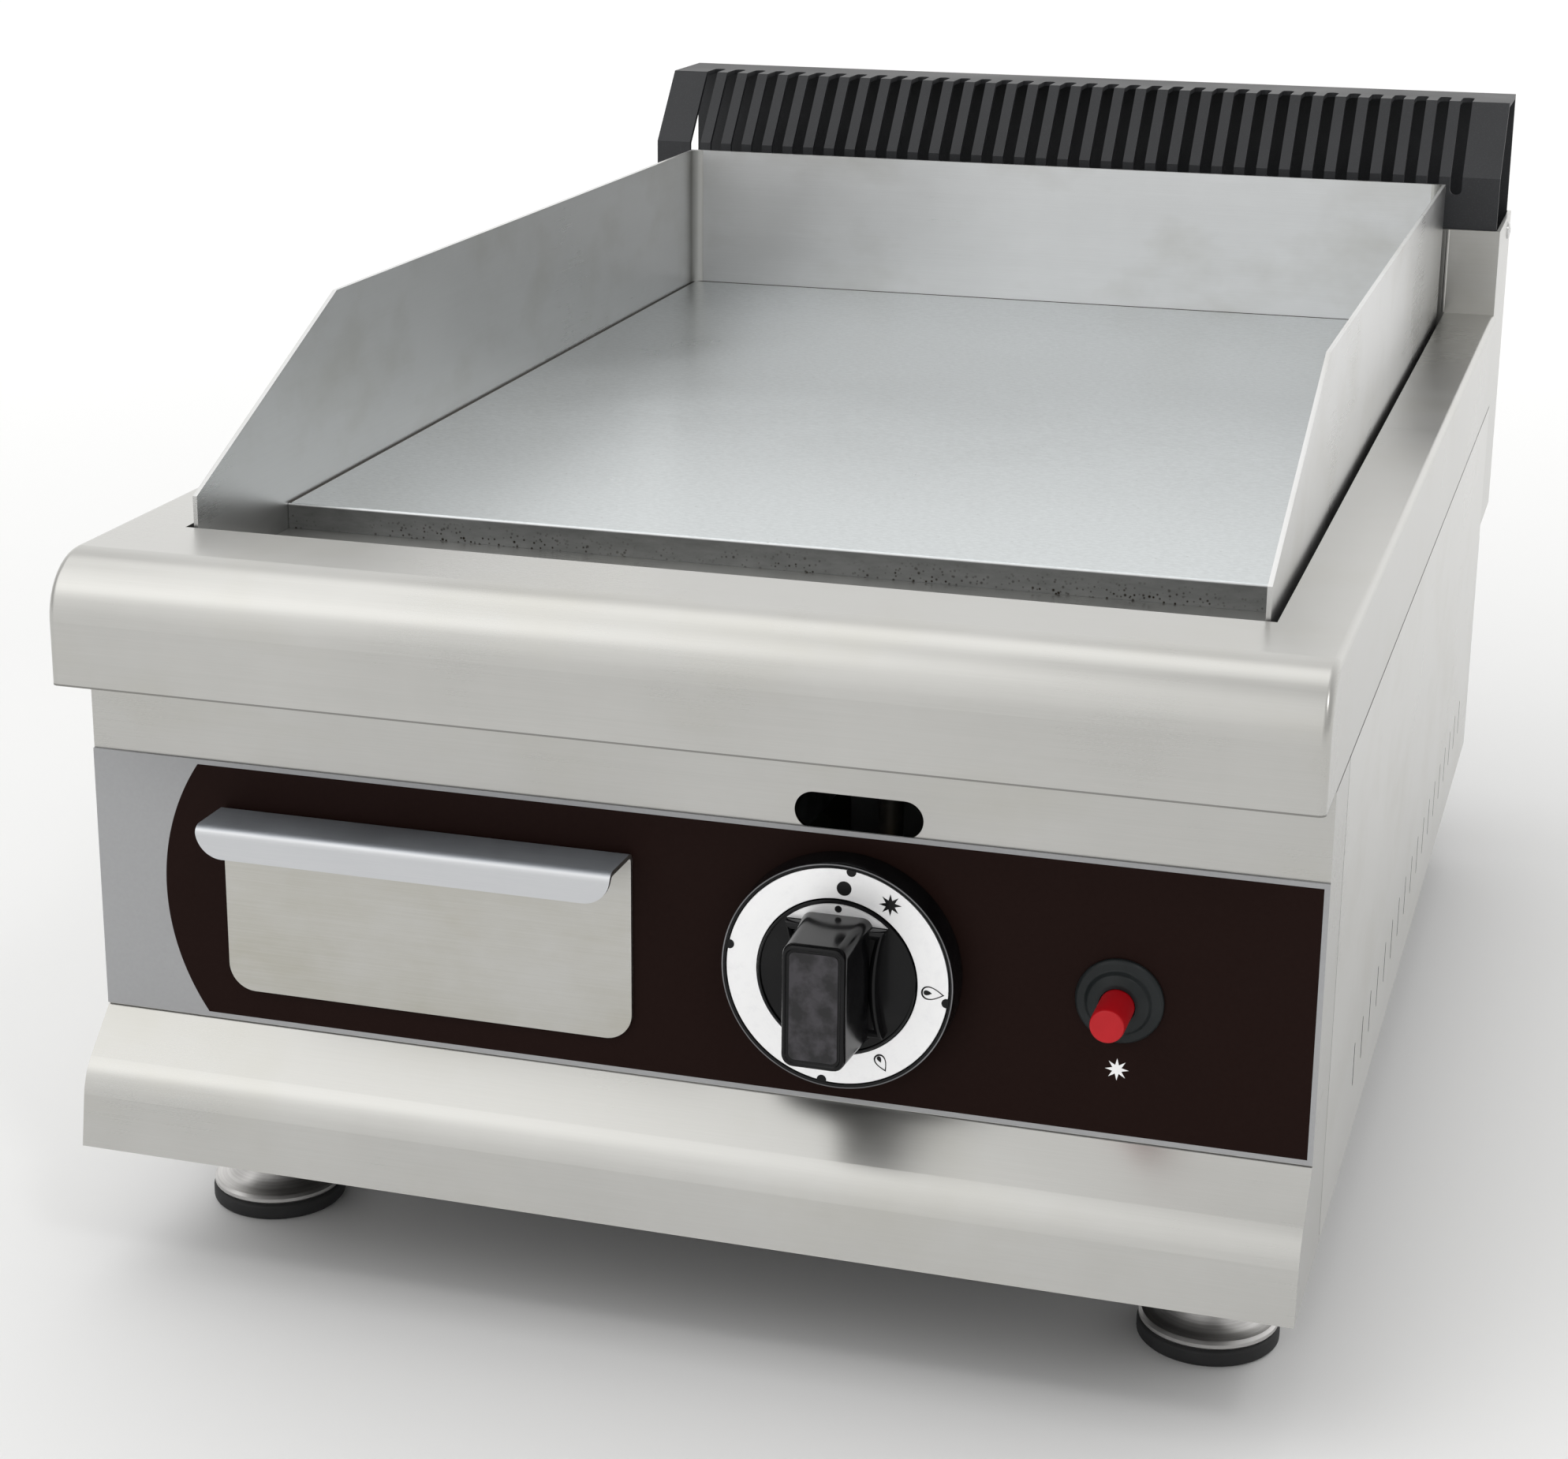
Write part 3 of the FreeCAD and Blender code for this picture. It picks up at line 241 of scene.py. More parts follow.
def fascia_print():
    """The printed plate: a near-black field, a grey end with an arc, a thin light rim."""
    low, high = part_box("control_fascia")
    drawer_low, drawer_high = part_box("drawer_front")
    g = Graph("fascia_print", Specular_IOR_Level=0.04)
    x, z = g.axis(0), g.axis(2)
    half_height = (high.z - low.z) / 2
    centre_z = (high.z + low.z) / 2
    bulge, inset = 0.0145, 0.0386
    radius = (half_height ** 2 + bulge ** 2) / (2 * bulge)
    centre_x = low.x + inset - bulge + radius
    away = g.math("SQRT", g.math(
        "ADD", g.math("POWER", g.math("SUBTRACT", x, centre_x), 2.0),
        g.math("POWER", g.math("SUBTRACT", z, centre_z), 2.0)))
    outside = g.math("MULTIPLY", g.math("GREATER_THAN", away, radius),
                     g.math("LESS_THAN", x, drawer_low.x + inset))
    rim = 0.0016
    edge = g.math("MAXIMUM", g.math("GREATER_THAN", z, high.z - rim),
                  g.math("MAXIMUM", g.math("LESS_THAN", z, low.z + rim),
                         g.math("GREATER_THAN", x, high.x - rim)))
    grey = g.math("MAXIMUM", outside, edge)
    speckle = g.noise(900.0, detail=2.0)
    dark = g.mix(speckle, (0.0125, 0.0055, 0.0045), (0.0155, 0.0075, 0.0062))
    light = g.mix(speckle, (0.345, 0.348, 0.356), (0.378, 0.381, 0.389))
    color = g.mix(grey, dark, light)
    return g.finish(color, g.levels(g.noise(40.0), 0.3, 0.7, 0.42, 0.52), speckle,
                    strength=0.05, distance=0.00005)


def charcoal_enamel():
    """The flue cover's matte coating, a little paler where it has worn."""
    g = Graph("grille_enamel", Specular_IOR_Level=0.3)
    grains = g.noise(1500.0, detail=3.0)
    patches = g.noise(14.0, detail=5.0)
    color = g.mix(g.levels(patches, 0.35, 0.65), (0.02, 0.021, 0.023), (0.03, 0.031, 0.034))
    color = g.mix(g.math("MULTIPLY", g.levels(grains, 0.5, 0.8), 0.4), color,
                  (0.055, 0.056, 0.06))
    return g.finish(color, g.levels(patches, 0.3, 0.7, 0.42, 0.55), grains,
                    strength=0.18, distance=0.00015)


def plastic(name, dark, light, rough, grain=0.1, scale=1200.0, blotch=45.0, **constants):
    """Moulded plastic or rubber: a fine surface texture and slight uneven gloss."""
    g = Graph(name, **constants)
    texture = g.noise(scale, detail=3.0)
    patches = g.noise(blotch, detail=4.0)
    color = g.mix(g.levels(patches, 0.38, 0.62), dark, light)
    return g.finish(color, g.levels(patches, 0.3, 0.7, *rough), texture,
                    strength=grain, distance=0.0001)


def worked_metal(name, dark, light, rough, scale=300.0, grain=0.1, metallic=1.0):
    """Cast, plated or turned metal: cloudy tone and a fine tooth."""
    g = Graph(name, metallic=metallic)
    tooth = g.noise(scale, detail=5.0, roughness=0.6)
    clouds = g.noise(30.0, detail=4.0)
    tone = g.math("ADD", g.math("MULTIPLY", tooth, 0.5), g.math("MULTIPLY", clouds, 0.5))
    return g.finish(g.mix(g.levels(tone, 0.35, 0.65), dark, light),
                    g.levels(tone, 0.3, 0.7, *rough), tooth, strength=grain,
                    distance=0.00015)


def galvanised(name, dark, light):
    """Zinc-coated sheet with its crystal pattern."""
    g = Graph(name, metallic=1.0)
    crystals = g.node("TexVoronoi", {"Vector": g.place, "Scale": 130.0})
    tone = g.axis(0, crystals.outputs["Color"])
    color = g.mix(tone, dark, light)
    return g.finish(color, g.levels(tone, 0.0, 1.0, 0.35, 0.5), g.noise(400.0),
                    strength=0.06)


def turned_metal(name, centre_node, bright, dull):
    """Metal with fine rings round an upright axis, as left by a lathe."""
    low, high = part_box(centre_node)
    g = Graph(name, metallic=1.0)
    centre = (low + high) / 2
    dx = g.math("SUBTRACT", g.axis(0), centre.x)
    dy = g.math("SUBTRACT", g.axis(1), centre.y)
    reach = g.math("SQRT", g.math("ADD", g.math("POWER", dx, 2.0), g.math("POWER", dy, 2.0)))
    rings = g.node("TexNoise", {"Vector": g.node("CombineXYZ", {
        0: g.math("MULTIPLY", reach, 1400.0), 1: g.math("MULTIPLY", g.axis(2), 1400.0)}
    ).outputs[0], "Scale": 1.0, "Detail": 3.0}).outputs["Fac"]
    clouds = g.noise(60.0, detail=4.0)
    tone = g.math("ADD", g.math("MULTIPLY", rings, 0.6), g.math("MULTIPLY", clouds, 0.4))
    return g.finish(g.mix(g.levels(tone, 0.35, 0.65), dull, bright),
                    g.levels(tone, 0.3, 0.7, 0.34, 0.46), rings, strength=0.05,
                    distance=0.0001)


def dial_foil():
    """The dial's satin foil, with fine rings round the knob's axis."""
    low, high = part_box("dial_ring")
    centre = (low + high) / 2
    g = Graph("dial_silver", metallic=0.75)
    dx = g.math("SUBTRACT", g.axis(0), centre.x)
    dz = g.math("SUBTRACT", g.axis(2), centre.z)
    reach = g.math("SQRT", g.math("ADD", g.math("POWER", dx, 2.0), g.math("POWER", dz, 2.0)))
    rings = g.node("TexNoise", {"Vector": g.node("CombineXYZ", {
        0: g.math("MULTIPLY", reach, 2500.0)}).outputs[0], "Scale": 1.0}).outputs["Fac"]
    scuffs = g.levels(g.noise(260.0, detail=6.0, roughness=0.7), 0.5, 0.75)
    color = g.mix(rings, (0.93, 0.93, 0.935), (0.985, 0.985, 0.99))
    color = g.mix(g.math("MULTIPLY", scuffs, 0.2), color, (0.66, 0.66, 0.7))
    return g.finish(color, g.levels(rings, 0.3, 0.7, 0.34, 0.46), rings, strength=0.05,
                    distance=0.00005)


def sooted_and_shaded(node, name):
    """Brushed outside; the inner faces of the open box painted near-black: soot, and painted
    shade inside the box.
    """
    low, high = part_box(node)
    wall = 0.0009
    return brushed(name, "x", inside=[(0, 0, high.x - wall), (1, 1, low.y + wall),
                                      (1, -1, high.y - wall), (2, -1, high.z - wall)])


FEET = [node[len("foot_bell_"):] for node in sorted(NODES) if node.startswith("foot_bell_")]

MATERIALS = {
    "stainless": brushed("stainless", "x"),
    "galvanised": galvanised("galvanised", (0.42, 0.44, 0.45), (0.6, 0.62, 0.63)),
    # kept dark: painted shade for the heat shields inside the body
    "aluminised": worked_metal("aluminised", (0.17, 0.16, 0.15), (0.3, 0.29, 0.27),
                               (0.35, 0.55), scale=180.0),
    "plate_steel": plate_steel(),
    "fascia_print": fascia_print(),
    "grille_enamel": charcoal_enamel(),
    "black_plastic": plastic("black_plastic", (0.003, 0.003, 0.0035), (0.006, 0.006, 0.0065),
                             (0.12, 0.2), grain=0.002, Specular_IOR_Level=0.2),
    "dial_silver": dial_foil(),
    "grey_plastic": plastic("grey_plastic", (0.008, 0.01, 0.0105), (0.014, 0.017, 0.018),
                            (0.34, 0.45), grain=0.12, Specular_IOR_Level=0.22),
    "red_plastic": plastic("red_plastic", (0.43, 0.004, 0.009), (0.52, 0.008, 0.014),
                           (0.4, 0.5), grain=0.05, Specular_IOR_Level=0.3),
    "rubber": plastic("rubber", (0.008, 0.008, 0.009), (0.016, 0.016, 0.017), (0.6, 0.75),
                      grain=0.25, scale=900.0),
    "foot_metal": turned_metal("foot_metal", "foot_bell_front_left", (0.7, 0.69, 0.68),
                               (0.5, 0.49, 0.48)),
    "burner_steel": worked_metal("burner_steel", (0.12, 0.1, 0.09), (0.26, 0.23, 0.22),
                                 (0.4, 0.6)),
    "brass": worked_metal("brass", (0.55, 0.38, 0.16), (0.74, 0.56, 0.28), (0.24, 0.4)),
    "ceramic": plastic("ceramic", (0.78, 0.75, 0.7), (0.86, 0.83, 0.78), (0.15, 0.3),
                       grain=0.04),
    "fastener": worked_metal("fastener", (0.5, 0.5, 0.5), (0.66, 0.66, 0.66), (0.18, 0.32)),
}
# Lighter copies of the stainless for the side panels and splash guards: painted light.
SIDE_GRAIN_LIT = brushed("stainless_side", "y", bright=(0.585, 0.582, 0.565),
                     dull=(0.51, 0.506, 0.488), slit_z=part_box("side_panel_right")[0].z + 0.003)
GUARD_SIDE_LIT = brushed("guard_side", "y", bright=(0.63, 0.632, 0.63), dull=(0.56, 0.56, 0.555))
GUARD_BACK_LIT = brushed("guard_back", "x", bright=(0.72, 0.725, 0.73), dull=(0.62, 0.622, 0.625))
# painted highlight for the bezel rim's outer edge
RIM_HIGHLIGHT = plastic("painted_rim_highlight", (0.1, 0.1, 0.105), (0.2, 0.2, 0.21), (0.3, 0.4))
SEAM = worked_metal("plate_seam", (0.03, 0.027, 0.024), (0.09, 0.08, 0.07), (0.5, 0.7))
KNOB_PANEL = plastic("knob_panel", (0.012, 0.0115, 0.013), (0.044, 0.041, 0.047),
                     (0.34, 0.5), grain=0.2, blotch=190.0, Specular_IOR_Level=0.35)
# painted shade: near-black sheets behind the side slits
VENT_SHADE = plastic("vent_shade", (0.008, 0.008, 0.008), (0.014, 0.014, 0.013), (0.7, 0.85),
               Specular_IOR_Level=0.1)
# painted shade: zinc parts inside the body made near-black
SHADED_ZINC = galvanised("shaded_zinc", (0.035, 0.034, 0.033), (0.085, 0.082, 0.078))
OVERRIDES = {
    "base_pan": SHADED_ZINC,
    "drawer_crossbar": SHADED_ZINC,
    "side_panel_left": SIDE_GRAIN_LIT,
    "side_panel_right": SIDE_GRAIN_LIT,
    "splash_guard_left": GUARD_SIDE_LIT,
    "splash_guard_right": GUARD_SIDE_LIT,
    "splash_guard_back": GUARD_BACK_LIT,
    "flue_riser": sooted_and_shaded("flue_riser", "riser_stainless"),
    "front_frame": brushed("frame_stainless", "x", inside=[
        (0, 0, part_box("front_frame")[1].x - 0.0009),
        (1, 1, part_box("control_fascia")[1].y + 0.0004)]),
    "worktop": brushed("worktop_stainless", "x",
                       edge_z=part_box("worktop")[0].z + 0.0006),
    "drawer_front": drawer_steel(),
}
for foot in FEET[1:]:
    OVERRIDES[f"foot_bell_{foot}"] = turned_metal(
        f"foot_metal_{foot}", f"foot_bell_{foot}", (0.7, 0.69, 0.68), (0.5, 0.49, 0.48))


def dress(obj, material):
    """One material over the whole object, with soft shading except at real edges."""
    obj.data.materials.clear()
    obj.data.materials.append(material)
    obj.data.shade_smooth()
    obj.data.set_sharp_from_angle(angle=math.radians(28))


for entry in frame["record"]["subparts"]:
    name = entry["node"]
    dress(NODES[name], OVERRIDES.get(name, MATERIALS[entry["material_slot"]]))

# ------------------------------------------------------------- mesh builders


def new_piece(name, points, faces, body, slot, material=None):
    mesh = bpy.data.meshes.new(name)
    mesh.from_pydata(points, [], faces)
    mesh.validate()
    obj = bpy.data.objects.new(name, mesh)
    bpy.context.scene.collection.objects.link(obj)
    dress(obj, material or MATERIALS[slot])
    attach(obj, body)
    return obj


def loft(rings, close_ends=True):
    """The points and faces of a skin through rings of equal length."""
    count = len(rings[0])
    points = [tuple(point) for ring in rings for point in ring]
    faces = []
    for level in range(len(rings) - 1):
        base = level * count
        for step in range(count):
            after = (step + 1) % count
            faces.append((base + step, base + after, base + count + after,
                          base + count + step))
    if close_ends:
        faces.append(tuple(reversed(range(count))))
        last = (len(rings) - 1) * count
        faces.append(tuple(range(last, last + count)))
    return points, faces


def circle(centre, radius, axis, steps=72):
    """A ring of points round an axis through a centre, right-handed about it."""
    points = []
    for step in range(steps):
        angle = math.tau * step / steps
        side, up = radius * math.cos(angle), radius * math.sin(angle)
        offset = {"x": (0, side, up), "y": (up, 0, side), "z": (side, up, 0)}[axis]
        points.append(Vector(centre) + Vector(offset))
    return points


def turned(centre, axis, profile, steps=72):
    """A solid of revolution; the profile lists (radius, distance along the axis)."""
    direction = Vector({"x": (1, 0, 0), "y": (0, 1, 0), "z": (0, 0, 1)}[axis])
    rings = [circle(Vector(centre) + direction * reach, max(radius, 0.00002), axis, steps)
             for radius, reach in profile]
    return loft(rings)


def rounded(profile, radius, steps=4):
    """A profile whose inner corners are replaced by small arcs."""
    path = [Vector(point) for point in profile]
    result = [path[0]]
    for before, corner, after in zip(path, path[1:], path[2:]):
        to_before, to_after = before - corner, after - corner
        reach = min(radius, to_before.length * 0.45, to_after.length * 0.45)
        start = corner + to_before.normalized() * reach
        end = corner + to_after.normalized() * reach
        for step in range(steps + 1):
            t = step / steps
            result.append(start * (1 - t) ** 2 + corner * 2 * t * (1 - t) + end * t ** 2)
    result.append(path[-1])
    return [tuple(point) for point in result]


def hollow_turned(centre, axis, profile, steps=72):
    """A ring-shaped solid: the profile is a closed loop that keeps off the axis."""
    direction = Vector({"x": (1, 0, 0), "y": (0, 1, 0), "z": (0, 0, 1)}[axis])
    rings = [circle(Vector(centre) + direction * reach, radius, axis, steps)
             for radius, reach in profile]
    return loft(rings + [rings[0]], close_ends=False)


def merged(*shapes):
    """Several closed shapes as one set of points and faces."""
    points, faces = [], []
    for more_points, more_faces in shapes:
        start = len(points)
        points.extend(more_points)
        faces.extend(tuple(start + index for index in face) for face in more_faces)
    return points, faces


def prism(outline, y_front, y_back):
    """A flat outline in X and Z, carried from one Y to another."""
    front = [(x, y_front, z) for x, z in outline]
    back = [(x, y_back, z) for x, z in outline]
    return loft([back, front])


def weld_mesh(obj):
    """Join the doubled points where a closed profile meets itself."""
    work = bmesh.new()
    work.from_mesh(obj.data)
    bmesh.ops.remove_doubles(work, verts=work.verts, dist=0.000002)
    bmesh.ops.recalc_face_normals(work, faces=work.faces)
    work.to_mesh(obj.data)
    work.free()
    return obj


def piece(name, shape, body, slot, replaces=(), material=None):
    obj = weld_mesh(new_piece(name, *shape, body, slot, material))
    if replaces:
        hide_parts(*replaces)
    return obj


# -------------------------------------------------------------------- pieces


def knob_axis():
    low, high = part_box("dial_ring")
    return (low.x + high.x) / 2, (low.z + high.z) / 2


def knob_bezel():
    """The black collar round the dial, its flat rim level with the foil, with a thin grey ring
    on the rim's outer edge as a painted highlight.
    """
    low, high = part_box("knob_bezel")
    dial_low, dial_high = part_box("dial_ring")
    x, z = knob_axis()
    outer = (high.x - low.x) / 2
    foil = (dial_high.x - dial_low.x) / 2
    bore = (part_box("control_knob")[1].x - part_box("control_knob")[0].x) / 2 + 0.0005
    back, rim, seat = high.y, dial_low.y - 0.0003, dial_low.y + 0.0009
    profile = rounded([
        (bore, back), (outer, back), (outer, back - 0.003), (outer - 0.0003, rim + 0.0014),
        (outer - 0.0004, rim), (foil + 0.0003, rim), (foil + 0.0003, seat),
        (bore, seat), (bore, (back + seat) / 2)], 0.0004)
    shape = hollow_turned((x, 0, z), "y", profile, steps=120)
    piece("knob_bezel_collar", shape, "root", "black_plastic", ("knob_bezel",))
    # painted highlight: a thin grey ring on the rim's outer front edge
    line = outer - 0.0007
    edge = [(line - 0.00018, rim + 0.0002), (line + 0.00018, rim + 0.0002),
            (line + 0.00018, rim - 0.00006), (line - 0.00018, rim - 0.00006)]
    piece("knob_bezel_highlight_ring", hollow_turned((x, 0, z), "y", edge, steps=120), "root",
          "grey_plastic", (), RIM_HIGHLIGHT)


def dial():
    """The silver dial ring with its marks: off, spark, large flame and small flame."""
    low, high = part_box("dial_ring")
    x, z = knob_axis()
    outer = (high.x - low.x) / 2
    bore = (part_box("control_knob")[1].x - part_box("control_knob")[0].x) / 2 + 0.0004
    face = low.y
    profile = [(bore, face + 0.0007), (outer, face + 0.0007), (outer, face + 0.0001),
               (outer - 0.0001, face), (bore + 0.0001, face), (bore, face + 0.0001)]
    piece("dial_foil", hollow_turned((x, 0, z), "y", profile, steps=120), "root",
          "dial_silver", ("dial_ring",))
    ink_front, ink_back = face - 0.00012, face + 0.0001
    middle = (bore + outer) / 2

    def spot(degrees, radius=middle):
        """A place on the dial, clockwise from the top."""
        angle = math.radians(degrees)
        return x + radius * math.sin(angle), z + radius * math.cos(angle)

    marks = [disc(spot(4, middle - 0.0012), 0.0023, ink_front, ink_back),
             prism(star(spot(33), 0.0035, 0.0015, 8), ink_front, ink_back)]
    for degrees, size in ((93, 0.0036), (151, 0.003)):
        marks.extend(flame(spot(degrees), size, degrees, ink_front, ink_back))
    marks.extend(disc(spot(degrees, outer - 0.0003), 0.0015, ink_front, ink_back)
                 for degrees in (7, 97, 187, 281))
    piece("dial_marks", merged(*marks), "root", "black_plastic")


def disc(centre, radius, y_front, y_back, steps=32):
    outline = [(centre[0] + radius * math.cos(math.tau * step / steps),
                centre[1] + radius * math.sin(math.tau * step / steps))
               for step in range(steps)]
    return prism(outline, y_front, y_back)


def star(centre, outer, inner, points):
    outline = []
    for step in range(points * 2):
        radius = inner if step % 2 else outer
        angle = math.tau * step / (points * 2)
        outline.append((centre[0] + radius * math.sin(angle),
                        centre[1] + radius * math.cos(angle)))
    return outline


def teardrop(centre, size, degrees, steps=36):
    """A drop whose tip points away from the dial's middle."""
    turn = math.radians(degrees)
    outline = []
    for step in range(steps):
        angle = math.tau * step / steps
        reach = size * math.cos(angle)
        width = size * 0.82 * math.sin(angle) * abs(math.sin(angle / 2)) ** 1.2
        outline.append((centre[0] + reach * math.sin(turn) + width * math.cos(turn),
                        centre[1] + reach * math.cos(turn) - width * math.sin(turn)))
    return outline


def flame(centre, size, degrees, y_front, y_back):
    """A drop drawn as an outline, with a small filled drop inside."""
    line = 0.00032
    outer = teardrop(centre, size, degrees)
    inner = teardrop(centre, size - line * 1.7, degrees)
    rings = [[(px, y, pz) for px, pz in ring]
             for ring, y in ((outer, y_back), (outer, y_front), (inner, y_front),
                             (inner, y_back), (outer, y_back))]
    turn = math.radians(degrees)
    core = (centre[0] - size * 0.42 * math.sin(turn), centre[1] - size * 0.42 * math.cos(turn))
    return [loft(rings, close_ends=False),
            prism(teardrop(core, size * 0.36, degrees), y_front, y_back)]


def rounded_box(x, z, half_x, half_z, corner, y, steps=6):
    """A rounded rectangle of points at one Y."""
    ring = []
    for quarter, (sx, sz) in enumerate(((1, 1), (-1, 1), (-1, -1), (1, -1))):
        for step in range(steps + 1):
            angle = math.pi / 2 * (quarter + step / steps)
            ring.append((x + sx * (half_x - corner) + corner * math.cos(angle), y,
                         z + sz * (half_z - corner) + corner * math.sin(angle)))
    return ring


def waisted(x, z, inset, y, steps=20):
    """The base of the grip: two inward-curving sides, drawn in by an inset."""
    reach, middle, flare = 0.0174 - inset, 0.0134 - inset, 0.0022
    ring = []
    for side in (1, -1):
        for step in range(steps + 1):
            t = side * (2 * step / steps - 1)
            ring.append((x + side * (middle + flare * t * t), y, z + reach * t))
    return ring


def control_knob():
    """The knob: a round hub, and a waisted grip with a framed front and a base rib."""
    low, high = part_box("control_knob")
    x, z = knob_axis()
    radius = (high.x - low.x) / 2
    back = high.y
    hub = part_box("dial_ring")[0].y - 0.0006
    floor = hub + 0.0008
    lip = radius - 0.0007
    body = turned((x, 0, z), "y", [
        (0, back), (radius, back), (radius, hub + 0.0003), (radius - 0.0002, hub),
        (lip, hub), (lip - 0.0002, floor), (0, floor)], steps=120)
    front = low.y
    depth = floor - front
    face, frame_width, recess = 0.0099, 0.0013, 0.0006
    half = 0.0196
    sections = [
        (floor, 0.0112, half + 0.0006, 0.0034),
        (floor - depth * 0.2, 0.0109, half + 0.0005, 0.0036),
        (floor - depth * 0.5, 0.0104, half + 0.0003, 0.0036),
        (front + 0.0022, face, half, 0.0036), (front + 0.001, face - 0.0001, half, 0.0036),
        (front + 0.0003, face - 0.0004, half - 0.0003, 0.0034),
        (front, face - 0.0009, half - 0.0008, 0.0031),
        (front, face - frame_width, half - frame_width, 0.0026),
        (front + recess * 0.7, face - frame_width - 0.0003, half - frame_width - 0.0003, 0.0024),
        (front + recess, face - frame_width - 0.0009, half - frame_width - 0.0009, 0.0020)]
    grip = [rounded_box(x, z, half_x, half_z, corner, y)
            for y, half_x, half_z, corner in sections]
    rib_top = floor - 0.0042
    base = [waisted(x, z, 0.0, floor), waisted(x, z, 0.0, rib_top + 0.0012),
            waisted(x, z, 0.0004, rib_top + 0.0004), waisted(x, z, 0.0011, rib_top),
            waisted(x, z, 0.0019, rib_top + 0.0003), waisted(x, z, 0.0027, rib_top + 0.0014)]
    piece("control_knob_moulding", merged(body, loft(base), loft(grip)), "knob",
          "black_plastic", ("control_knob",))
    pad_x, pad_z = face - frame_width - 0.0011, half - frame_width - 0.0011
    panel = [rounded_box(x, z, pad_x, pad_z, 0.0018, front + recess + 0.0004),
             rounded_box(x, z, pad_x, pad_z, 0.0018, front + recess - 0.0001)]
    piece("knob_grip_panel", loft(panel), "knob", "black_plastic", (), KNOB_PANEL)
    chord, reach = 0.0176, lip - 0.0006
    start = math.asin(chord / reach)
    steps = 40
    outline = []
    for step in range(steps + 1):
        angle = start + (math.pi - 2 * start) * step / steps
        outline.append((x + reach * math.cos(angle), z + reach * math.sin(angle)))
    piece("knob_pointer_field", prism(outline, floor - 0.0002, floor + 0.0004), "knob",
          "dial_silver")
    dot = disc((x + 0.0003, z + 0.0221), 0.0011, floor - 0.0003, floor)
    piece("knob_pointer_dot", dot, "knob", "black_plastic")


def igniter():
    """The stepped igniter bezel and the push button."""
    low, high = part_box("igniter_bezel")
    x, z = (low.x + high.x) / 2, (low.z + high.z) / 2
    outer, back, front = (high.x - low.x) / 2, high.y, low.y
    button_low, button_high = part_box("igniter_button")
    button = (button_high.x - button_low.x) / 2
    bore = button + 0.0003
    profile = rounded([
        (bore, back), (outer, back), (outer, back - 0.0012), (outer - 0.0009, back - 0.002),
        (outer - 0.0032, back - 0.0024), (outer - 0.0042, front + 0.0012),
        (bore + 0.0012, front), (bore, front)], 0.0004)
    piece("igniter_bezel_ring", hollow_turned((x, 0, z), "y", profile, steps=84), "root",
          "grey_plastic", ("igniter_bezel",))
    tip, end = button_low.y, button_high.y
    cap = turned((x, 0, z), "y", rounded([
        (0, tip), (button - 0.0002, tip), (button, tip + 0.0012), (button, end), (0, end)],
        0.0008), steps=64)
    piece("igniter_button_cap", cap, "button", "red_plastic", ("igniter_button",))


def feet():
    """Each levelling foot: a flared metal bell over a rubber pad."""
    for foot in FEET:
        low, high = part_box(f"foot_bell_{foot}")
        pad_low, pad_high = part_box(f"foot_pad_{foot}")
        x, y = (low.x + high.x) / 2, (low.y + high.y) / 2
        pad = (pad_high.x - pad_low.x) / 2
        top = pad_high.z
        pad_profile = rounded([(0, pad_low.z), (pad - 0.0012, pad_low.z), (pad, 0.0012),
                               (pad, top - 0.0008), (pad - 0.0008, top), (0, top)], 0.0006)
        piece(f"foot_rubber_{foot}", turned((x, y, 0), "z", pad_profile), f"foot_{foot}",
              "rubber", (f"foot_pad_{foot}",))
        flare = [(pad - 0.0012, top), (pad - 0.0005, top + 0.0008),
                 (pad - 0.0005, top + 0.002), (pad - 0.0014, top + 0.003)]
        for step in range(1, 11):
            t = step / 10
            flare.append((pad - 0.0014 - 0.0112 * t ** 0.62, top + 0.003 + 0.017 * t ** 1.5))
        neck = flare[-1][0]
        shoulder = 0.0445
        bell = [(0, top), *flare, (neck - 0.0008, top + 0.0225), (neck - 0.0008, shoulder),
                (0.005, shoulder), (0.005, high.z), (0, high.z)]
        piece(f"foot_bell_turned_{foot}", turned((x, y, 0), "z", bell), f"foot_{foot}",
              "foot_metal", (f"foot_bell_{foot}",),
              NODES[f"foot_bell_{foot}"].data.materials[0])


def screw_head(centre, axis, sign, radius, height):
    """A domed head with a recess, standing out along an axis."""
    profile = [(0, -0.0002), (radius, -0.0002), (radius, height * 0.25)]
    for step in range(1, 7):
        angle = math.pi / 2 * step / 7
        profile.append((radius * math.cos(angle) ** 0.8,
                        height * (0.25 + 0.75 * math.sin(angle))))
    profile += [(radius * 0.32, height), (radius * 0.3, height * 0.45), (0, height * 0.45)]
    return turned(centre, axis, [(r, reach * sign) for r, reach in profile], steps=28)


def screws():
    """Domed heads on the flue box and on the back panel."""
    low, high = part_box("riser_screws")
    box_low, box_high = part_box("flue_riser")
    y, z = (low.y + high.y) / 2, (low.z + high.z) / 2
    heads = [screw_head((edge, y, z), "x", sign, (high.z - low.z) / 2,
                        high.x - box_high.x)
             for edge, sign in ((box_high.x, 1), (box_low.x, -1))]
    piece("riser_screw_heads", merged(*heads), "root", "fastener", ("riser_screws",))
    low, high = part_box("back_panel_screws")
    radius = 0.004
    rows = [low.z + radius, (low.z + high.z) / 2, high.z - radius]
    heads = [screw_head((x, low.y, z), "y", 1, radius, high.y - low.y)
             for x in (low.x + radius, high.x - radius) for z in rows]
    piece("back_screw_heads", merged(*heads), "root", "fastener", ("back_panel_screws",))


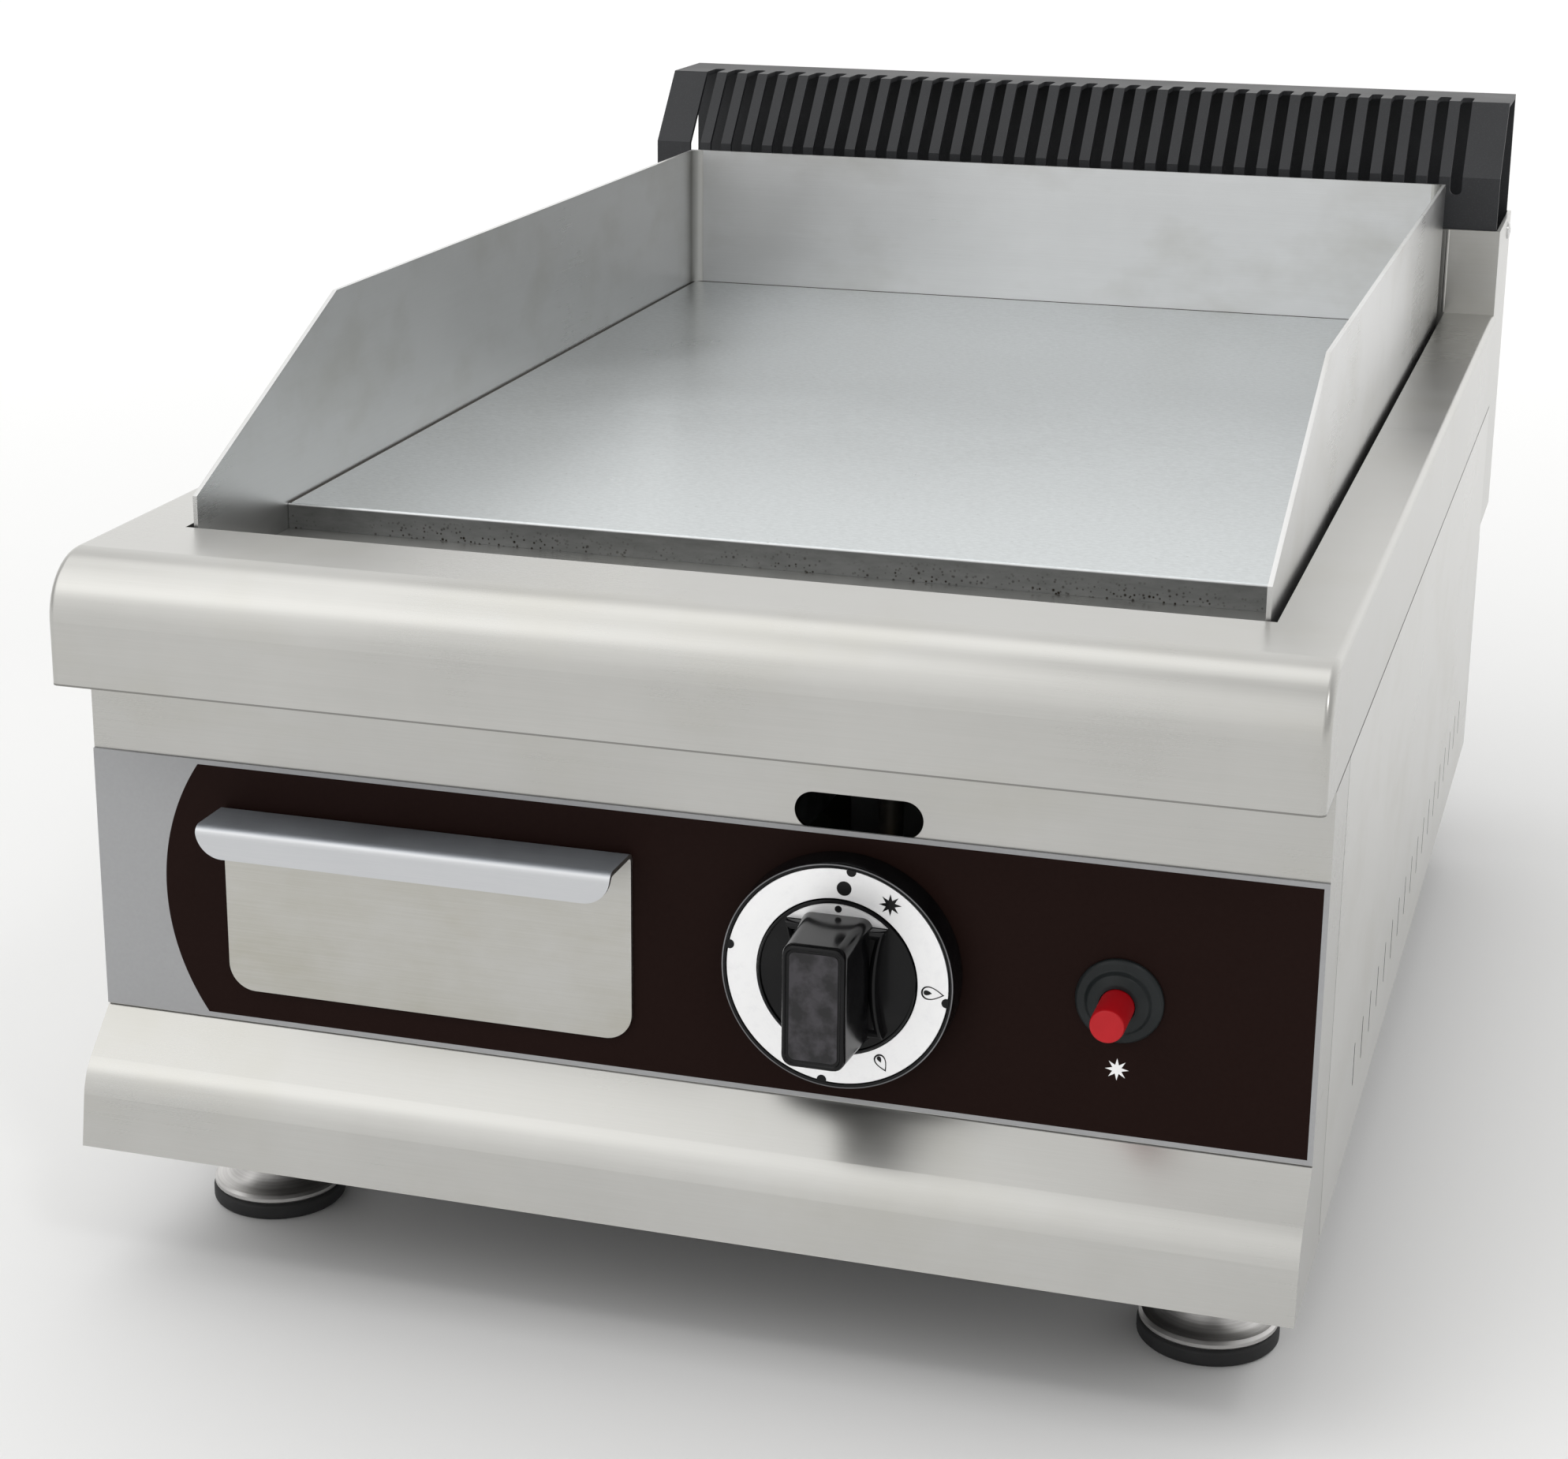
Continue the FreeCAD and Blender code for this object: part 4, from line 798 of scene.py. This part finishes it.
def guard_corners():
    """The rounded welds up the two inner corners of the splash guards."""
    side_low, side_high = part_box("splash_guard_right")
    back_low, back_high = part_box("splash_guard_back")
    plate_low, plate_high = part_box("griddle_plate")
    radius, steps = 0.0045, 8
    for sign, name in ((1, "right"), (-1, "left")):
        x, y = side_low.x * sign, back_low.y
        outline = [(x, y)]
        for step in range(steps + 1):
            angle = math.pi / 2 * step / steps
            outline.append((x - sign * radius * (1 - math.sin(angle)),
                            y - radius * (1 - math.cos(angle))))
        rings = [[(px, py, z) for px, py in outline]
                 for z in (plate_high.z - 0.0004, back_high.z)]
        piece(f"guard_corner_{name}", loft(rings), "root", "stainless", (),
              MATERIALS["stainless"])


def plate_seams():
    """The dark line of heat-stained filler where the plate meets its guards."""
    plate_low, plate_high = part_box("griddle_plate")
    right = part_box("splash_guard_right")[0].x
    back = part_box("splash_guard_back")[0].y
    front_z = plate_high.z - 0.0044
    rise, deep = 0.00015, 0.003
    strips = []
    for sign in (1, -1):
        inner, outer = sign * (right - 0.0012), sign * right
        strips.append(loft([[(inner, y, z), (outer, y, z + rise), (outer, y, z - deep),
                             (inner + sign * 0.0009, y, z - deep)]
                            for y, z in ((plate_low.y + 0.0005, front_z),
                                         (back, plate_high.z))]))
    strips.append(loft([[(x, back - 0.0011, plate_high.z - 0.00005),
                         (x, back, plate_high.z + rise), (x, back, plate_high.z - deep),
                         (x, back - 0.0006, plate_high.z - deep)]
                        for x in (-right, right)]))
    piece("plate_seam", merged(*strips), "root", "rubber", (), SEAM)


def vent_shade_sheets():
    """Dark sheets just behind the slits in the side panels: painted shade inside the slits."""
    low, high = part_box("side_panel_right")
    inner = high.x - 0.0016
    y = (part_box("front_frame")[1].y + 0.07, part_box("worktop")[1].y - 0.035)
    z = (low.z + 0.0175, low.z + 0.0385)
    shade_sheets = []
    for sign in (1, -1):
        rings = [[(sign * inner, py, pz) for py, pz in
                  ((y[0], z[0]), (y[1], z[0]), (y[1], z[1]), (y[0], z[1]))],
                 [(sign * (inner - 0.0006), py, pz) for py, pz in
                  ((y[0], z[0]), (y[1], z[0]), (y[1], z[1]), (y[0], z[1]))]]
        shade_sheets.append(loft(rings))
    piece("vent_shade_sheets", merged(*shade_sheets), "root", "rubber", (), VENT_SHADE)


def riser_seams():
    """The folded vertical joints near both ends of the flue box's front."""
    low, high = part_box("flue_riser")
    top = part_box("worktop")[1].z
    strips = []
    for sign in (1, -1):
        x = sign * (high.x - 0.0225)
        ring = [(x - 0.0007, low.y), (x - 0.0003, low.y - 0.0003), (x + 0.0003, low.y - 0.0003),
                (x + 0.0007, low.y)]
        strips.append(loft([[(px, py, z) for px, py in ring]
                            for z in (top + 0.0003, high.z - 0.0002)]))
    piece("riser_seams", merged(*strips), "root", "stainless")


def fascia_symbol():
    """A generic spark by the igniter, in place of the printed word."""
    low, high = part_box("igniter_bezel")
    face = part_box("control_fascia")[0].y
    centre = ((low.x + high.x) / 2, low.z - 0.009)
    piece("igniter_spark_mark",
          prism(star(centre, 0.0036, 0.0015, 8), face - 0.0001, face + 0.0001),
          "root", "dial_silver")


knob_bezel()
dial()
control_knob()
igniter()
feet()
screws()
guard_corners()
plate_seams()
riser_seams()
vent_shade_sheets()
fascia_symbol()

# --------------------------------------------------------- floor and lights


def pale_floor():
    mesh = bpy.data.meshes.new("floor")
    half = 20.0
    mesh.from_pydata([(-half, -half, 0), (half, -half, 0), (half, half, 0), (-half, half, 0)],
                     [], [(0, 1, 2, 3)])
    floor = bpy.data.objects.new("floor", mesh)
    bpy.context.scene.collection.objects.link(floor)
    g = Graph("floor", Specular_IOR_Level=0.2)
    tone = g.mix(g.noise(3.0, detail=2.0), (0.85, 0.85, 0.85), (0.87, 0.87, 0.87))
    away = g.node("VectorMath", {0: g.place}, operation="LENGTH").outputs["Value"]
    tone = g.mix(g.levels(away, 0.7, 1.7), tone, (0.97, 0.97, 0.97))
    mesh.materials.append(g.finish(tone, 0.9))


def soft_light(name, place, target, size, power, tint=(1, 1, 1)):
    data = bpy.data.lights.new(name, "AREA")
    data.shape = "RECTANGLE"
    data.size, data.size_y = size
    data.energy = power
    data.color = tint
    light = bpy.data.objects.new(name, data)
    light.location = place
    light.rotation_euler = (Vector(target) - Vector(place)).to_track_quat("-Z", "Y").to_euler()
    bpy.context.scene.collection.objects.link(light)


def studio():
    """A soft surround, brighter behind and overhead in front, and one small key light."""
    world = bpy.data.worlds.new("studio")
    bpy.context.scene.world = world
    world.use_nodes = True
    tree = world.node_tree
    tree.nodes.clear()

    def node(kind, **inputs):
        made = tree.nodes.new(f"ShaderNode{kind}")
        for key, value in inputs.items():
            made.inputs[key.replace("_", " ")].default_value = value
        return made

    place = node("TexCoord").outputs["Generated"]
    split = node("SeparateXYZ")
    tree.links.new(place, split.inputs[0])
    behind = node("MapRange", From_Min=-0.1, From_Max=0.9, To_Min=0.66, To_Max=1.24)
    tree.links.new(split.outputs["Y"], behind.inputs["Value"])
    total = behind.outputs[0]
    for direction, reach, peak in (((-0.25, 0.2, 0.94), (0.9, 0.995), 1.0),
                                   ((-0.5, -0.4, 0.77), (0.88, 0.99), 1.15),
                                   ((-0.3, -0.87, 0.42), (0.8, 0.99), 0.6)):
        toward = node("VectorMath")
        toward.operation = "DOT_PRODUCT"
        toward.inputs[1].default_value = Vector(direction).normalized()
        tree.links.new(place, toward.inputs[0])
        lobe = node("MapRange", From_Min=reach[0], From_Max=reach[1], To_Max=peak)
        lobe.interpolation_type = "SMOOTHSTEP"
        tree.links.new(toward.outputs["Value"], lobe.inputs["Value"])
        added = node("Math")
        tree.links.new(total, added.inputs[0])
        tree.links.new(lobe.outputs[0], added.inputs[1])
        total = added.outputs[0]
    shade = node("Background", Color=(1, 0.998, 0.99, 1))
    tree.links.new(total, shade.inputs["Strength"])
    output = node("OutputWorld")
    tree.links.new(shade.outputs[0], output.inputs["Surface"])
    soft_light("key", (0.9, -1.2, 1.7), (0, -0.1, 0.2), (0.3, 0.3), 3.5, (1, 0.995, 0.98))


bpy.context.scene.view_settings.view_transform = "Standard"
CAMERA_PLACE = (0.2866, -1.1455, 0.4971)
CAMERA_YAW, CAMERA_PITCH, CAMERA_ROLL = -17.2, 17.02, 0.35
CAMERA_FOCUS = 3922 / 1988
SENSOR = 36.0
CAMERA_SHIFT = (0.0228, -0.035)


def camera():
    data = bpy.data.cameras.new("camera")
    data.sensor_width = SENSOR
    data.lens = CAMERA_FOCUS * SENSOR
    data.shift_x, data.shift_y = CAMERA_SHIFT
    view = bpy.data.objects.new("camera", data)
    turn = (Matrix.Rotation(math.radians(-CAMERA_YAW), 4, "Z")
            @ Matrix.Rotation(math.radians(90 - CAMERA_PITCH), 4, "X")
            @ Matrix.Rotation(math.radians(CAMERA_ROLL), 4, "Z"))
    view.matrix_world = Matrix.Translation(CAMERA_PLACE) @ turn
    bpy.context.scene.collection.objects.link(view)
    bpy.context.scene.camera = view


pale_floor()
studio()
camera()
